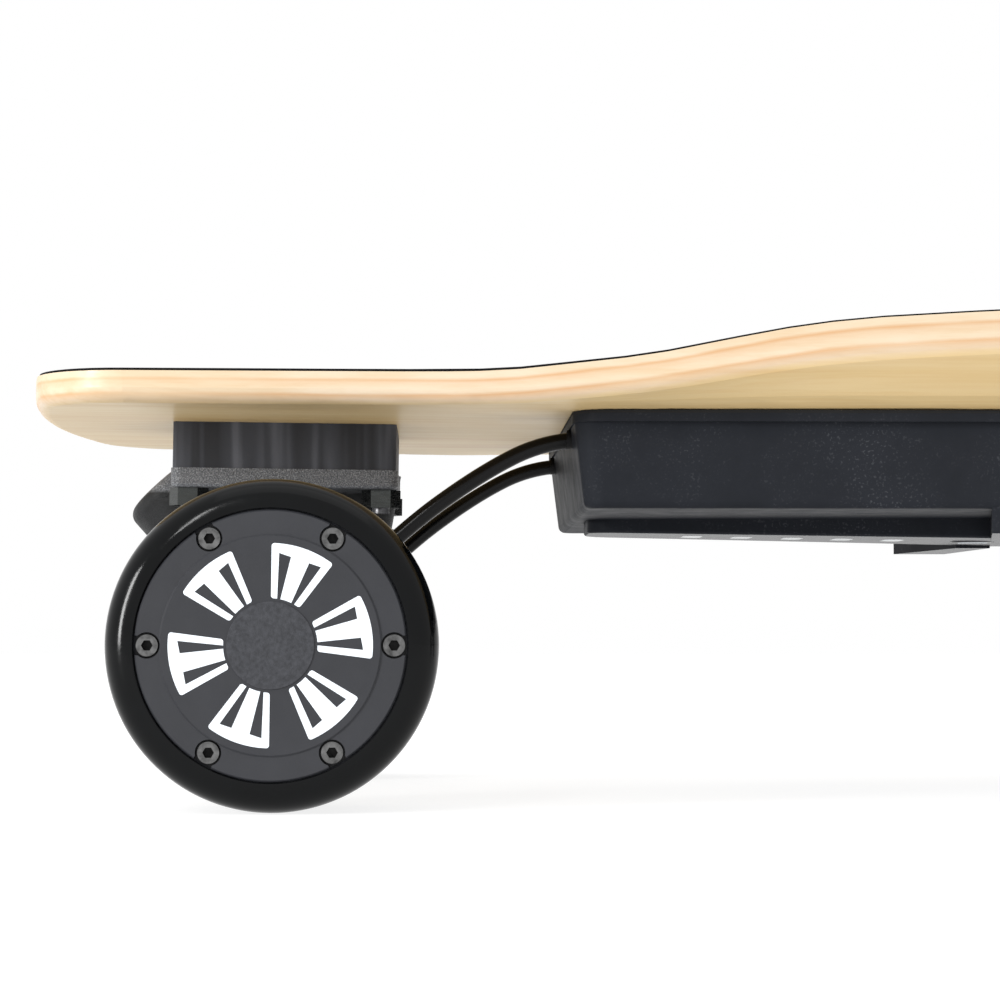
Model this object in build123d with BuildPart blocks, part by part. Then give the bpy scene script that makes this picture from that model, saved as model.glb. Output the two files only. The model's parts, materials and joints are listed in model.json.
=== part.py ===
"""Electric skateboard with two hub motors, built as separate named pieces.

Frame: millimetres, origin on the ground under the middle of the board, +X towards the nose,
+Y to the rider's left, +Z up. The board stands on its four wheels.
"""

import os
from math import atan2, cos, degrees, radians, sin, tan

from build123d import *

os.makedirs("parts", exist_ok=True)

# ---------------------------------------------------------------- driving dimensions
BOARD_LENGTH = 740.0
WHEELBASE = 597.6
WHEEL_DIAMETER = 83.0
WHEEL_WIDTH = 49.0
OUTER_TRACK = 234.0  # between the outer faces of the two wheels of one truck

DECK_Z = 102.8  # flat underside of the deck over the enclosure
PLY_THICKNESS = 8.2
GRIP_THICKNESS = 0.7
HALF_WIDTH_MIDDLE = 112.5
HALF_WIDTH_TRUCK = 91.0
TAIL_PITCH = 0.72  # degrees, both ends rise a little outside the enclosure
FLARE_ANGLE = 31.6  # degrees, slope of the raised rails in the middle of the board

ENCLOSURE_HALF_LENGTH = 222.3
ENCLOSURE_HALF_WIDTH = 84.0
ENCLOSURE_BOTTOM_Z = 77.4

STEER_LEAN = 10.0  # degrees, tilt of the kingpin from the vertical
LEAD_DIAMETER = 4.4

# ---------------------------------------------------------------- derived dimensions
WHEEL_RADIUS = WHEEL_DIAMETER / 2
AXLE_Z = WHEEL_RADIUS
AXLE_X = WHEELBASE / 2
OUTER_FACE = OUTER_TRACK / 2
INNER_FACE = OUTER_FACE - WHEEL_WIDTH
DECK_Z_AT_AXLE = DECK_Z + (AXLE_X - ENCLOSURE_HALF_LENGTH) * tan(radians(TAIL_PITCH))

REAR = -1
FRONT = 1
RIGHT = -1
LEFT = 1
SIDE_NAMES = {LEFT: "left", RIGHT: "right"}


def save(piece, name):
    """Name one finished piece and write it to its own STEP file."""
    piece.part.label = name
    export_step(piece.part, f"parts/{name}.step")


# ================================================================ deck
TIP_HALF_WIDTH = 85.5
TIP_SAGITTA = 10.4  # how far the corners of the blunt tail stand in from its tip
CORNER_RADIUS = 28.0
EDGE_ROUND = 3.8  # rounding of the deck's lower edge
RAIL_LINE = 86.0  # where the flat floor of the deck turns into the flared rail
BEND = 6.0  # half length of that turn
BLANK_HALF_WIDTH = 128.0
FLARE_END = AXLE_X - 35.0  # the rails are flat outside this distance from the middle
FLARE_RUN = 117.0  # length over which they rise to their full slope
STATION_STEPS = 32  # spans of the lofted deck


def flare_at(x):
    """Slope of the rail at x, in radians: a smooth step from flat to full."""
    step = min(max((FLARE_END - abs(x)) / FLARE_RUN, 0.0), 1.0)
    return radians(FLARE_ANGLE) * step * step * (3 - 2 * step)


def floor_at(x):
    """Height of the deck's flat underside at x."""
    return DECK_Z + max(abs(x) - ENCLOSURE_HALF_LENGTH, 0.0) * tan(radians(TAIL_PITCH))


def layer_points(x, height):
    """Turn and rail points of the deck's cross-section, a height above its underside."""
    slope = flare_at(x)
    base = floor_at(x) + height
    turn = RAIL_LINE - height * tan(slope / 2)
    start = (turn - BEND, base)
    end = (turn + BEND * cos(slope), base + BEND * sin(slope))
    rail = (BLANK_HALF_WIDTH, base + (BLANK_HALF_WIDTH - turn) * tan(slope))
    return start, (turn, base), end, rail


def flip(point):
    """The same point of a cross-section on the other side of the board."""
    return (-point[0], point[1])


def layer_section(x, low, high):
    """Closed cross-section of one deck layer between two heights."""
    with BuildSketch(Plane(origin=(x, 0, 0), x_dir=(0, 1, 0), z_dir=(1, 0, 0))) as section:
        with BuildLine():
            for height in (low, high):
                start, turn, end, rail = layer_points(x, height)
                Line(flip(rail), flip(end))
                Bezier(flip(end), flip(turn), flip(start))
                Line(flip(start), start)
                Bezier(start, turn, end)
                Line(end, rail)
            low_rail = layer_points(x, low)[3]
            high_rail = layer_points(x, high)[3]
            Line(low_rail, high_rail)
            Line(flip(low_rail), flip(high_rail))
        make_face()
    return section.sketch


def deck_outline(inset):
    """Plan outline of the board: blunt rounded ends, widest in the middle."""
    tip_x = BOARD_LENGTH / 2 - inset
    corner = (tip_x - TIP_SAGITTA, TIP_HALF_WIDTH - inset)
    middle = HALF_WIDTH_MIDDLE - inset
    axle = HALF_WIDTH_TRUCK - inset
    with BuildSketch(Plane.XY.offset(DECK_Z - 20)) as outline:
        with BuildLine():
            for side in (LEFT, RIGHT):
                Spline(
                    (-corner[0], side * corner[1]),
                    (-AXLE_X, side * axle),
                    (0, side * middle),
                    (AXLE_X, side * axle),
                    (corner[0], side * corner[1]),
                )
            for end in (REAR, FRONT):
                ThreePointArc((end * corner[0], corner[1]), (end * tip_x, 0), (end * corner[0], -corner[1]))
        make_face()
        fillet(outline.vertices(), CORNER_RADIUS - inset)
    return outline.sketch


def deck_stations():
    """Evenly spaced cross-section positions, a little past both ends of the board."""
    reach = BOARD_LENGTH / 2 + 4
    return [reach * (2 * share / STATION_STEPS - 1) for share in range(STATION_STEPS + 1)]


def deck_layer(low, high, inset):
    """One layer of the deck: lofted cross-sections trimmed to the plan outline."""
    with BuildPart() as layer:
        for x in deck_stations():
            add(layer_section(x, low, high))
        loft()
        add(deck_outline(inset))
        extrude(amount=80, mode=Mode.INTERSECT)
    return layer


def is_lower_rim(edge):
    """True for an edge that runs round the deck's outline below its mid-thickness."""
    point = edge.position_at(0.5)
    if abs(edge.tangent_at(0.5).Z) > 0.8:
        return False
    rail_rise = max(abs(point.Y) - RAIL_LINE, 0) * tan(flare_at(point.X))
    return point.Z < floor_at(point.X) + rail_rise + PLY_THICKNESS / 2


# ================================================================ truck planes and stacks
PLATE_LENGTH = 63.4
PLATE_WIDTH = 57.0
PLATE_THICKNESS = 5.3
PLATE_SHIFT = 1.5  # the plate's middle stands this far outside the axle
RISER_LENGTH = 62.4
RISER_WIDTH = 56.0
RISER_HEIGHT = 12.9
BOLT_SPACING_X = 53.98
BOLT_SPACING_Y = 41.3
BOLT_RADIUS = 2.4
BOLT_HEAD_RADIUS = 4.7
BOLT_HEAD_HEIGHT = 2.6
BOLT_SOCKET = (1.9, 1.8)  # radius and depth
NUT_HEIGHT = 5.0
NUT_ACROSS_FLATS = 9.5

PIVOT_DIP = 48.0  # degrees, slope of the pivot nose below the horizontal, inwards
PIVOT_END = (-38.4, 88.2)  # closed end of the pivot boss: inward from the axle, height
PIVOT_BOSS_RADIUS = 13.0
PIVOT_BOSS_LENGTH = 18.0
PIVOT_WALL = 4.5
BALL_DEPTH = 11.5  # the pivot ball's centre, from the closed end
BALL_RADIUS = 6.3
CUP_OUTER_RADIUS = 8.6
CUP_INNER_RADIUS = 6.65

RING_CENTRE = (16.5, 60.0)  # middle of the hanger's ring: inward from the axle, height
RING_RADIUS = 15.5
RING_HALF = 3.5
UPPER_BUSHING = 12.0
LOWER_BUSHING = 8.0
BUSHING_RADIUS = 12.0
WASHER = 1.5
WASHER_RADIUS = 9.5
SEAT = RING_HALF + UPPER_BUSHING + WASHER  # kingpin seat above the ring's middle
FLOOR = RING_HALF + LOWER_BUSHING + WASHER  # underside of the lower washer below it
KINGPIN_RADIUS = 4.5
KINGPIN_HEAD = SEAT + 6.0
KINGPIN_HEAD_HEIGHT = 6.0
KINGPIN_NUT_HEIGHT = 6.0
KINGPIN_FLATS = 13.0
KINGPIN_BOSS_RADIUS = 8.6


def end_plane(end):
    """Plane on the deck's underside over an axle, tilted with the end of the deck."""
    pitch = radians(TAIL_PITCH)
    origin = (end * AXLE_X, 0, DECK_Z_AT_AXLE)
    x_dir = (cos(pitch), 0, end * sin(pitch))
    return Plane(origin=origin, x_dir=x_dir, z_dir=(-end * sin(pitch), 0, cos(pitch)))


def at_axle(inward, height):
    """Point in the rear truck's middle plane."""
    return Vector(inward - AXLE_X, 0, height)


DIP = radians(PIVOT_DIP)
LEAN = radians(STEER_LEAN)
TAIL = end_plane(REAR)
PLATE_TOP = TAIL.offset(-RISER_HEIGHT)
PIVOT = Plane(origin=at_axle(*PIVOT_END), x_dir=(sin(DIP), 0, cos(DIP)), z_dir=(cos(DIP), 0, -sin(DIP)))
KINGPIN_X = (cos(LEAN), 0, -sin(LEAN))
KINGPIN = Plane(origin=at_axle(*RING_CENTRE), x_dir=KINGPIN_X, z_dir=(sin(LEAN), 0, cos(LEAN)))


def side_plane(plane):
    """Plane through another plane's Z axis, for profiles of (radius, distance along it)."""
    return Plane(origin=plane.origin, x_dir=plane.x_dir, z_dir=-plane.y_dir)


def axis_of(plane):
    return Axis(plane.origin, plane.z_dir)


def turned(plane, outline):
    """Solid of revolution about a plane's Z axis."""
    with BuildPart() as piece:
        with BuildSketch(side_plane(plane)):
            with BuildLine():
                Polyline(*outline, close=True)
            make_face()
        revolve(axis=axis_of(plane))
    return piece


def save_both_ends(piece, name):
    """Write a rear piece and its mirror image at the front."""
    save(piece, f"rear_{name}")
    with BuildPart() as front:
        mirror(piece.part, about=Plane.YZ)
    save(front, f"front_{name}")


# ================================================================ deck, grip tape, fasteners
SCREW_PLACES = [(x, y) for x in (-205, -105, 0, 105, 205) for y in (-72.5, 72.5)]
SCREW_RADIUS = 2.0
SCREW_HEAD_RADIUS = 4.0
SCREW_HEAD_HEIGHT = 2.2
SCREW_LENGTH = 22.0
SCREW_SOCKET = (1.5, 1.5)  # radius and depth
HOLE_PLAY = 0.1

with BuildPart() as deck:
    add(deck_layer(0.0, PLY_THICKNESS, 0.0).part)
    deck_walls = deck.faces().filter_by(lambda face: abs(face.normal_at().Z) < 0.15)
    fillet(deck_walls.edges().filter_by(is_lower_rim), EDGE_ROUND)
    for end in (REAR, FRONT):
        with Locations(end_plane(end).offset(PLY_THICKNESS)):
            with Locations((end * PLATE_SHIFT, 0)):
                with GridLocations(BOLT_SPACING_X, BOLT_SPACING_Y, 2, 2):
                    CounterSinkHole(BOLT_RADIUS + HOLE_PLAY, BOLT_HEAD_RADIUS + HOLE_PLAY, depth=20)
    with Locations(Plane.XY.offset(DECK_Z + PLY_THICKNESS)):
        with Locations(*SCREW_PLACES):
            CounterSinkHole(SCREW_RADIUS + HOLE_PLAY, SCREW_HEAD_RADIUS + HOLE_PLAY, depth=20)
save(deck, "deck")

with BuildPart() as grip_tape:
    add(deck_layer(PLY_THICKNESS, PLY_THICKNESS + GRIP_THICKNESS, 0.6).part)
    for end in (REAR, FRONT):
        with BuildSketch(end_plane(end)):
            with Locations((end * PLATE_SHIFT, 0)):
                with GridLocations(BOLT_SPACING_X, BOLT_SPACING_Y, 2, 2):
                    Circle(BOLT_HEAD_RADIUS + 0.4)
        extrude(amount=20, mode=Mode.SUBTRACT)
    with BuildSketch(Plane.XY.offset(DECK_Z)):
        with Locations(*SCREW_PLACES):
            Circle(SCREW_HEAD_RADIUS + 0.4)
    extrude(amount=20, mode=Mode.SUBTRACT)
save(grip_tape, "grip_tape")

with BuildPart() as truck_bolts:
    bolt_length = PLY_THICKNESS + RISER_HEIGHT + PLATE_THICKNESS + NUT_HEIGHT + 1.5
    with Locations(TAIL.offset(PLY_THICKNESS)):
        with Locations((-PLATE_SHIFT, 0)):
            with GridLocations(BOLT_SPACING_X, BOLT_SPACING_Y, 2, 2):
                Cylinder(BOLT_RADIUS, bolt_length, align=(Align.CENTER, Align.CENTER, Align.MAX))
                Cone(
                    BOLT_RADIUS,
                    BOLT_HEAD_RADIUS,
                    BOLT_HEAD_HEIGHT,
                    align=(Align.CENTER, Align.CENTER, Align.MAX),
                )
                Cylinder(
                    *BOLT_SOCKET,
                    align=(Align.CENTER, Align.CENTER, Align.MAX),
                    mode=Mode.SUBTRACT,
                )
    mirror(about=Plane.YZ)
save(truck_bolts, "truck_bolts")

with BuildPart() as truck_nuts:
    with BuildSketch(TAIL.offset(-RISER_HEIGHT - PLATE_THICKNESS)):
        with Locations((-PLATE_SHIFT, 0)):
            with GridLocations(BOLT_SPACING_X, BOLT_SPACING_Y, 2, 2):
                RegularPolygon(NUT_ACROSS_FLATS / 2, 6, major_radius=False)
                Circle(BOLT_RADIUS, mode=Mode.SUBTRACT)
    extrude(amount=-NUT_HEIGHT)
    mirror(about=Plane.YZ)
save(truck_nuts, "truck_nuts")

# ================================================================ risers and baseplates
with BuildPart() as riser:
    with BuildSketch(TAIL):
        with Locations((-PLATE_SHIFT, 0)):
            RectangleRounded(RISER_LENGTH, RISER_WIDTH, 1.4)
            with GridLocations(BOLT_SPACING_X, BOLT_SPACING_Y, 2, 2):
                Circle(BOLT_RADIUS + HOLE_PLAY, mode=Mode.SUBTRACT)
    extrude(amount=-RISER_HEIGHT)
save_both_ends(riser, "riser")

with BuildPart() as baseplate:
    with BuildSketch(PLATE_TOP):
        with Locations((-PLATE_SHIFT, 0)):
            RectangleRounded(PLATE_LENGTH, PLATE_WIDTH, 3)
    extrude(amount=-PLATE_THICKNESS)
    fillet(baseplate.faces().sort_by(Axis.Z)[0].edges(), 1.0)
    with BuildPart(mode=Mode.PRIVATE) as pivot_boss:
        with BuildSketch(PIVOT):
            Circle(PIVOT_BOSS_RADIUS)
        extrude(amount=PIVOT_BOSS_LENGTH)
        closed_end = pivot_boss.edges().filter_by(GeomType.CIRCLE).sort_by(Axis.Z)[-1]
        fillet(closed_end, 3.5)
    add(pivot_boss.part)
    with BuildSketch(KINGPIN.offset(SEAT)):
        Circle(KINGPIN_BOSS_RADIUS)
    extrude(amount=20)
    with BuildSketch(Plane.XZ):
        with BuildLine():
            rib = [(-34, 87), (-24, 82.5), (-14, 82), (10, 81), (16, 84), (18, 88)]
            Polyline(*[(inward - AXLE_X, height) for inward, height in rib], close=True)
        make_face()
    extrude(amount=4.5, both=True)
    split(bisect_by=PLATE_TOP, keep=Keep.BOTTOM)
    with BuildSketch(PIVOT.offset(PIVOT_WALL)):
        Circle(CUP_OUTER_RADIUS)
    extrude(amount=PIVOT_BOSS_LENGTH, mode=Mode.SUBTRACT)
    with BuildSketch(KINGPIN):
        Circle(KINGPIN_RADIUS)
    extrude(amount=40, mode=Mode.SUBTRACT)
    with BuildSketch(KINGPIN.offset(KINGPIN_HEAD)):
        RegularPolygon(KINGPIN_FLATS / 2 + HOLE_PLAY, 6, major_radius=False)
    extrude(amount=15, mode=Mode.SUBTRACT)
    with BuildSketch(PLATE_TOP):
        with Locations((-PLATE_SHIFT, 0)):
            with GridLocations(BOLT_SPACING_X, BOLT_SPACING_Y, 2, 2):
                Circle(BOLT_RADIUS + HOLE_PLAY)
    extrude(amount=-20, mode=Mode.SUBTRACT)
save_both_ends(baseplate, "baseplate")

# ================================================================ kingpins, bushings, pivot cups
with BuildPart() as kingpins:
    with BuildSketch(KINGPIN.offset(-FLOOR - KINGPIN_NUT_HEIGHT - 2)):
        Circle(KINGPIN_RADIUS)
    extrude(amount=FLOOR + KINGPIN_NUT_HEIGHT + 2 + KINGPIN_HEAD)
    with BuildSketch(KINGPIN.offset(KINGPIN_HEAD)):
        RegularPolygon(KINGPIN_FLATS / 2, 6, major_radius=False)
    extrude(amount=KINGPIN_HEAD_HEIGHT)
    mirror(about=Plane.YZ)
save(kingpins, "kingpins")

with BuildPart() as kingpin_nuts:
    with BuildSketch(KINGPIN.offset(-FLOOR)):
        RegularPolygon(KINGPIN_FLATS / 2, 6, major_radius=False)
        Circle(KINGPIN_RADIUS, mode=Mode.SUBTRACT)
    extrude(amount=-KINGPIN_NUT_HEIGHT)
    mirror(about=Plane.YZ)
save(kingpin_nuts, "kingpin_nuts")

with BuildPart() as bushing_washers:
    for low in (SEAT - WASHER, -FLOOR):
        with BuildSketch(KINGPIN.offset(low)):
            Circle(WASHER_RADIUS)
            Circle(KINGPIN_RADIUS, mode=Mode.SUBTRACT)
        extrude(amount=WASHER)
    mirror(about=Plane.YZ)
save(bushing_washers, "bushing_washers")

with BuildPart() as bushings:
    bushing_bore = KINGPIN_RADIUS + HOLE_PLAY
    for seat, washer_side in ((RING_HALF, SEAT - WASHER), (-RING_HALF, -FLOOR + WASHER)):
        bushing = turned(
            KINGPIN,
            [
                (bushing_bore, seat),
                (BUSHING_RADIUS - 1, seat),
                (BUSHING_RADIUS - 0.5, seat + (washer_side - seat) * 0.2),
                (WASHER_RADIUS - 0.3, washer_side),
                (bushing_bore, washer_side),
            ],
        )
        add(bushing.part)
save_both_ends(bushings, "bushings")

with BuildPart() as pivot_cup:
    with BuildSketch(PIVOT.offset(PIVOT_WALL)):
        Circle(CUP_OUTER_RADIUS)
    extrude(amount=PIVOT_BOSS_LENGTH - PIVOT_WALL - 1)
    with BuildSketch(PIVOT.offset(BALL_DEPTH)):
        Circle(CUP_INNER_RADIUS)
    extrude(amount=PIVOT_BOSS_LENGTH, mode=Mode.SUBTRACT)
    with Locations(PIVOT.offset(BALL_DEPTH)):
        Sphere(CUP_INNER_RADIUS, mode=Mode.SUBTRACT)
save_both_ends(pivot_cup, "pivot_cup")

# ================================================================ hangers
MOTOR_SHAFT_RADIUS = 6.0
SHAFT_INNER_END = 40.0  # distance of the motor shaft's inner end from the middle
CLAMP_RADIUS = 12.0
CLAMP_FACE = 64.0
FRONT_AXLE_RADIUS = 4.0
FRONT_SHOULDER = 75.0
NUT_POCKET_RADIUS = 11.0
BUSHING_POCKET_RADIUS = 13.0
LEAD_PLAY = 0.5
LEAD_EXIT_Y = 57.0

REAR_BEAM = [
    (0, -CLAMP_FACE),
    (CLAMP_RADIUS, -CLAMP_FACE),
    (CLAMP_RADIUS, -50),
    (8.5, -42),
    (10, -14),
    (10, 14),
    (8.5, 42),
    (CLAMP_RADIUS, 50),
    (CLAMP_RADIUS, CLAMP_FACE),
    (0, CLAMP_FACE),
]
FRONT_BEAM = [
    (0, -FRONT_SHOULDER),
    (6.5, -FRONT_SHOULDER),
    (8.5, -58),
    (8.5, -42),
    (10, -14),
    (10, 14),
    (8.5, 42),
    (8.5, 58),
    (6.5, FRONT_SHOULDER),
    (0, FRONT_SHOULDER),
]


def hub_plane(end, side):
    """Plane on an axle at the middle of the board, its Z axis pointing out of one wheel."""
    return Plane(origin=(end * AXLE_X, 0, AXLE_Z), x_dir=(1, 0, 0), z_dir=(0, side, 0))


def rear_hanger_blank(beam_outline):
    """Hanger at the rear axle: beam, pivot nose and bushing ring, without its axle bores."""
    with BuildPart() as blank:
        beam = turned(hub_plane(REAR, LEFT), beam_outline)
        add(beam.part)
        with BuildSketch(PIVOT.offset(BALL_DEPTH)):
            Circle(BALL_RADIUS - 0.3)
        with BuildSketch(PIVOT.offset(BALL_DEPTH + 14)):
            Circle(BALL_RADIUS + 0.2)
        with BuildSketch(PIVOT.offset(BALL_DEPTH + 44)):
            Circle(10)
        loft()
        with Locations(PIVOT.offset(BALL_DEPTH)):
            Sphere(BALL_RADIUS)
        with BuildSketch(Plane.XZ):
            with BuildLine():
                web = [(-9, 40), (-17.5, 65), (1.5, 64.5), (10, 60), (7, 38)]
                Polyline(*[(inward - AXLE_X, height) for inward, height in web], close=True)
            make_face()
        extrude(amount=9, both=True)
        with BuildSketch(KINGPIN.offset(-RING_HALF)):
            Circle(RING_RADIUS)
        extrude(amount=2 * RING_HALF)
        with BuildSketch(KINGPIN.offset(-RING_HALF)):
            Circle(NUT_POCKET_RADIUS)
        extrude(amount=-40, mode=Mode.SUBTRACT)
        with BuildSketch(KINGPIN.offset(-RING_HALF)):
            Circle(BUSHING_POCKET_RADIUS)
        extrude(amount=-LOWER_BUSHING - WASHER - 0.5, mode=Mode.SUBTRACT)
        with BuildSketch(KINGPIN.offset(RING_HALF)):
            Circle(BUSHING_POCKET_RADIUS)
        extrude(amount=20, mode=Mode.SUBTRACT)
        with BuildSketch(KINGPIN.offset(-RING_HALF)):
            Circle(KINGPIN_RADIUS + 3)
        extrude(amount=2 * RING_HALF, mode=Mode.SUBTRACT)
    return blank


LEAD_START = Vector(6.5 - AXLE_X, 0, 48.0)
LEAD_RISE = 45.0  # degrees, the leads' slope as they leave the hanger

with BuildPart() as rear_hanger:
    add(rear_hanger_blank(REAR_BEAM).part)
    for side in (LEFT, RIGHT):
        with BuildSketch(hub_plane(REAR, side).offset(SHAFT_INNER_END)):
            Circle(MOTOR_SHAFT_RADIUS)
        extrude(amount=40, mode=Mode.SUBTRACT)
        rise = radians(LEAD_RISE)
        passage = Plane(
            origin=(LEAD_START.X, side * LEAD_EXIT_Y, LEAD_START.Z), z_dir=(cos(rise), 0, sin(rise))
        )
        with BuildSketch(passage.offset(-2)):
            Circle(LEAD_DIAMETER / 2 + LEAD_PLAY)
        extrude(amount=20, mode=Mode.SUBTRACT)
save(rear_hanger, "rear_hanger")

with BuildPart() as front_hanger:
    mirror(rear_hanger_blank(FRONT_BEAM).part, about=Plane.YZ)
    with BuildSketch(hub_plane(FRONT, LEFT)):
        Circle(FRONT_AXLE_RADIUS)
    extrude(amount=100, both=True, mode=Mode.SUBTRACT)
save(front_hanger, "front_hanger")

# ================================================================ hub motors
RUNNING_PLAY = 0.04
CAN_OUTER = 34.0
CAN_INNER = 31.0
CAN_LIP = 28.2
MOTOR_BEARING_OUTER = 14.0
INNER_BEARING = (INNER_FACE + 0.8, INNER_FACE + 7.0)
OUTER_BEARING = (OUTER_FACE - 13.2, OUTER_FACE - 6.2)
STATOR = (79.5, 100.5)
STATOR_CORE = 13.5
TOOTH_MIDDLE = 19.5
TOOTH = (14.0, 3.4)  # length and width
COIL = (8.6, 6.9)
MAGNET_INNER = 28.6
COIL_END = 2.4
TEETH = 12
MAGNETS = 14
CAP_RADIUS = 33.5
CAP_SEAT = OUTER_FACE - 5.0
DISC_RADIUS = 27.0
DISC_PROUD = 0.5
CAP_SCREWS = 6
CAP_SCREW_CIRCLE = 30.4
CAP_SCREW_RADIUS = 1.5
CAP_SCREW_HEAD = 2.7
CAP_SCREW_HEIGHT = 3.0
CAP_SCREW_LENGTH = 7.5
CAP_SCREW_SOCKET = (1.25, 2.6)  # half its width across flats, and depth
RECESS_RADIUS = 3.25
RECESS_DEPTH = 3.4
TYRE_OUTER_ROUND = 7.2
TYRE_INNER_ROUND = 5.0

with BuildPart() as motor_shafts:
    for side in (LEFT, RIGHT):
        with BuildSketch(hub_plane(REAR, side).offset(SHAFT_INNER_END)):
            Circle(MOTOR_SHAFT_RADIUS)
        extrude(amount=OUTER_BEARING[1] - SHAFT_INNER_END)
save(motor_shafts, "motor_shafts")

with BuildPart() as stators:
    for side in (LEFT, RIGHT):
        with BuildSketch(hub_plane(REAR, side).offset(STATOR[0])):
            Circle(STATOR_CORE)
            with PolarLocations(TOOTH_MIDDLE, TEETH):
                Rectangle(*TOOTH)
            with BuildSketch(mode=Mode.PRIVATE) as shoe:
                with BuildLine():
                    Polyline((27.0, 5.4), (25.2, 4.2), (25.2, -4.2), (27.0, -5.4))
                    ThreePointArc((27.0, -5.4), (27.6, 0), (27.0, 5.4))
                make_face()
            with PolarLocations(0, TEETH):
                add(shoe.sketch)
            Circle(MOTOR_SHAFT_RADIUS, mode=Mode.SUBTRACT)
        extrude(amount=STATOR[1] - STATOR[0])
save(stators, "stators")

with BuildPart() as windings:
    for side in (LEFT, RIGHT):
        with BuildSketch(hub_plane(REAR, side).offset(STATOR[0] - COIL_END)):
            with PolarLocations(TOOTH_MIDDLE + 0.1, TEETH):
                RectangleRounded(*COIL, 1.2)
        extrude(amount=STATOR[1] - STATOR[0] + 2 * COIL_END)
        with BuildSketch(hub_plane(REAR, side).offset(STATOR[0])):
            with PolarLocations(TOOTH_MIDDLE, TEETH):
                Rectangle(*TOOTH)
        extrude(amount=STATOR[1] - STATOR[0], mode=Mode.SUBTRACT)
save(windings, "windings")


def make_tyre(end, side, core_radius):
    """Urethane tyre with rounded treads, moulded round its core."""
    hub = hub_plane(end, side)
    with BuildPart() as tyre:
        with BuildSketch(side_plane(hub)):
            with BuildLine():
                inner_shoulder = (WHEEL_RADIUS, INNER_FACE + TYRE_INNER_ROUND)
                outer_shoulder = (WHEEL_RADIUS, OUTER_FACE - TYRE_OUTER_ROUND)
                outer_face = (WHEEL_RADIUS - TYRE_OUTER_ROUND, OUTER_FACE)
                Polyline(outer_face, (core_radius, OUTER_FACE), (core_radius, INNER_FACE))
                Line((core_radius, INNER_FACE), (WHEEL_RADIUS - TYRE_INNER_ROUND, INNER_FACE))
                RadiusArc((WHEEL_RADIUS - TYRE_INNER_ROUND, INNER_FACE), inner_shoulder, -TYRE_INNER_ROUND)
                Line(inner_shoulder, outer_shoulder)
                RadiusArc(outer_shoulder, outer_face, -TYRE_OUTER_ROUND)
            make_face()
        revolve(axis=axis_of(hub))
    return tyre


def make_bearing(plane, bore, outer, low, high):
    """Sealed ball bearing: two rings with sunk shields between them."""
    third = (outer - bore) / 3
    return turned(
        plane,
        [
            (bore, low),
            (bore + third * 0.9, low),
            (bore + third * 0.9, low + 0.4),
            (outer - third * 0.9, low + 0.4),
            (outer - third * 0.9, low),
            (outer, low),
            (outer, high),
            (outer - third * 0.9, high),
            (outer - third * 0.9, high - 0.4),
            (bore + third * 0.9, high - 0.4),
            (bore + third * 0.9, high),
            (bore, high),
        ],
    )


def make_rotor(side):
    """Rotor can: a drum with the inner flange and its bearing seat."""
    hub = hub_plane(REAR, side)
    flange = INNER_FACE + 4.0
    with BuildPart() as rotor:
        drum = turned(
            hub,
            [
                (MOTOR_BEARING_OUTER, INNER_FACE + 0.6),
                (CAN_OUTER, INNER_FACE + 0.6),
                (CAN_OUTER, CAP_SEAT),
                (CAN_LIP, CAP_SEAT),
                (CAN_LIP, CAP_SEAT - 7.5),
                (CAN_INNER, CAP_SEAT - 7.5),
                (CAN_INNER, flange),
                (MOTOR_BEARING_OUTER + 4, flange),
                (MOTOR_BEARING_OUTER + 4, INNER_BEARING[1] + 0.2),
                (MOTOR_BEARING_OUTER, INNER_BEARING[1] + 0.2),
            ],
        )
        add(drum.part)
        with BuildSketch(hub.offset(CAP_SEAT)):
            with PolarLocations(CAP_SCREW_CIRCLE, CAP_SCREWS):
                Circle(CAP_SCREW_RADIUS)
        extrude(amount=-7, mode=Mode.SUBTRACT)
    return rotor


def make_magnets(side):
    """Curved magnets round the inside of the rotor can."""
    hub = hub_plane(REAR, side)
    with BuildPart() as magnets:
        with BuildSketch(hub.offset(STATOR[0] - 1)):
            Circle(CAN_INNER)
            Circle(MAGNET_INNER, mode=Mode.SUBTRACT)
            with PolarLocations(CAN_INNER - 1, MAGNETS):
                Rectangle(6, 1.2, mode=Mode.SUBTRACT)
        extrude(amount=STATOR[1] - STATOR[0] + 2)
    return magnets


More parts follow.
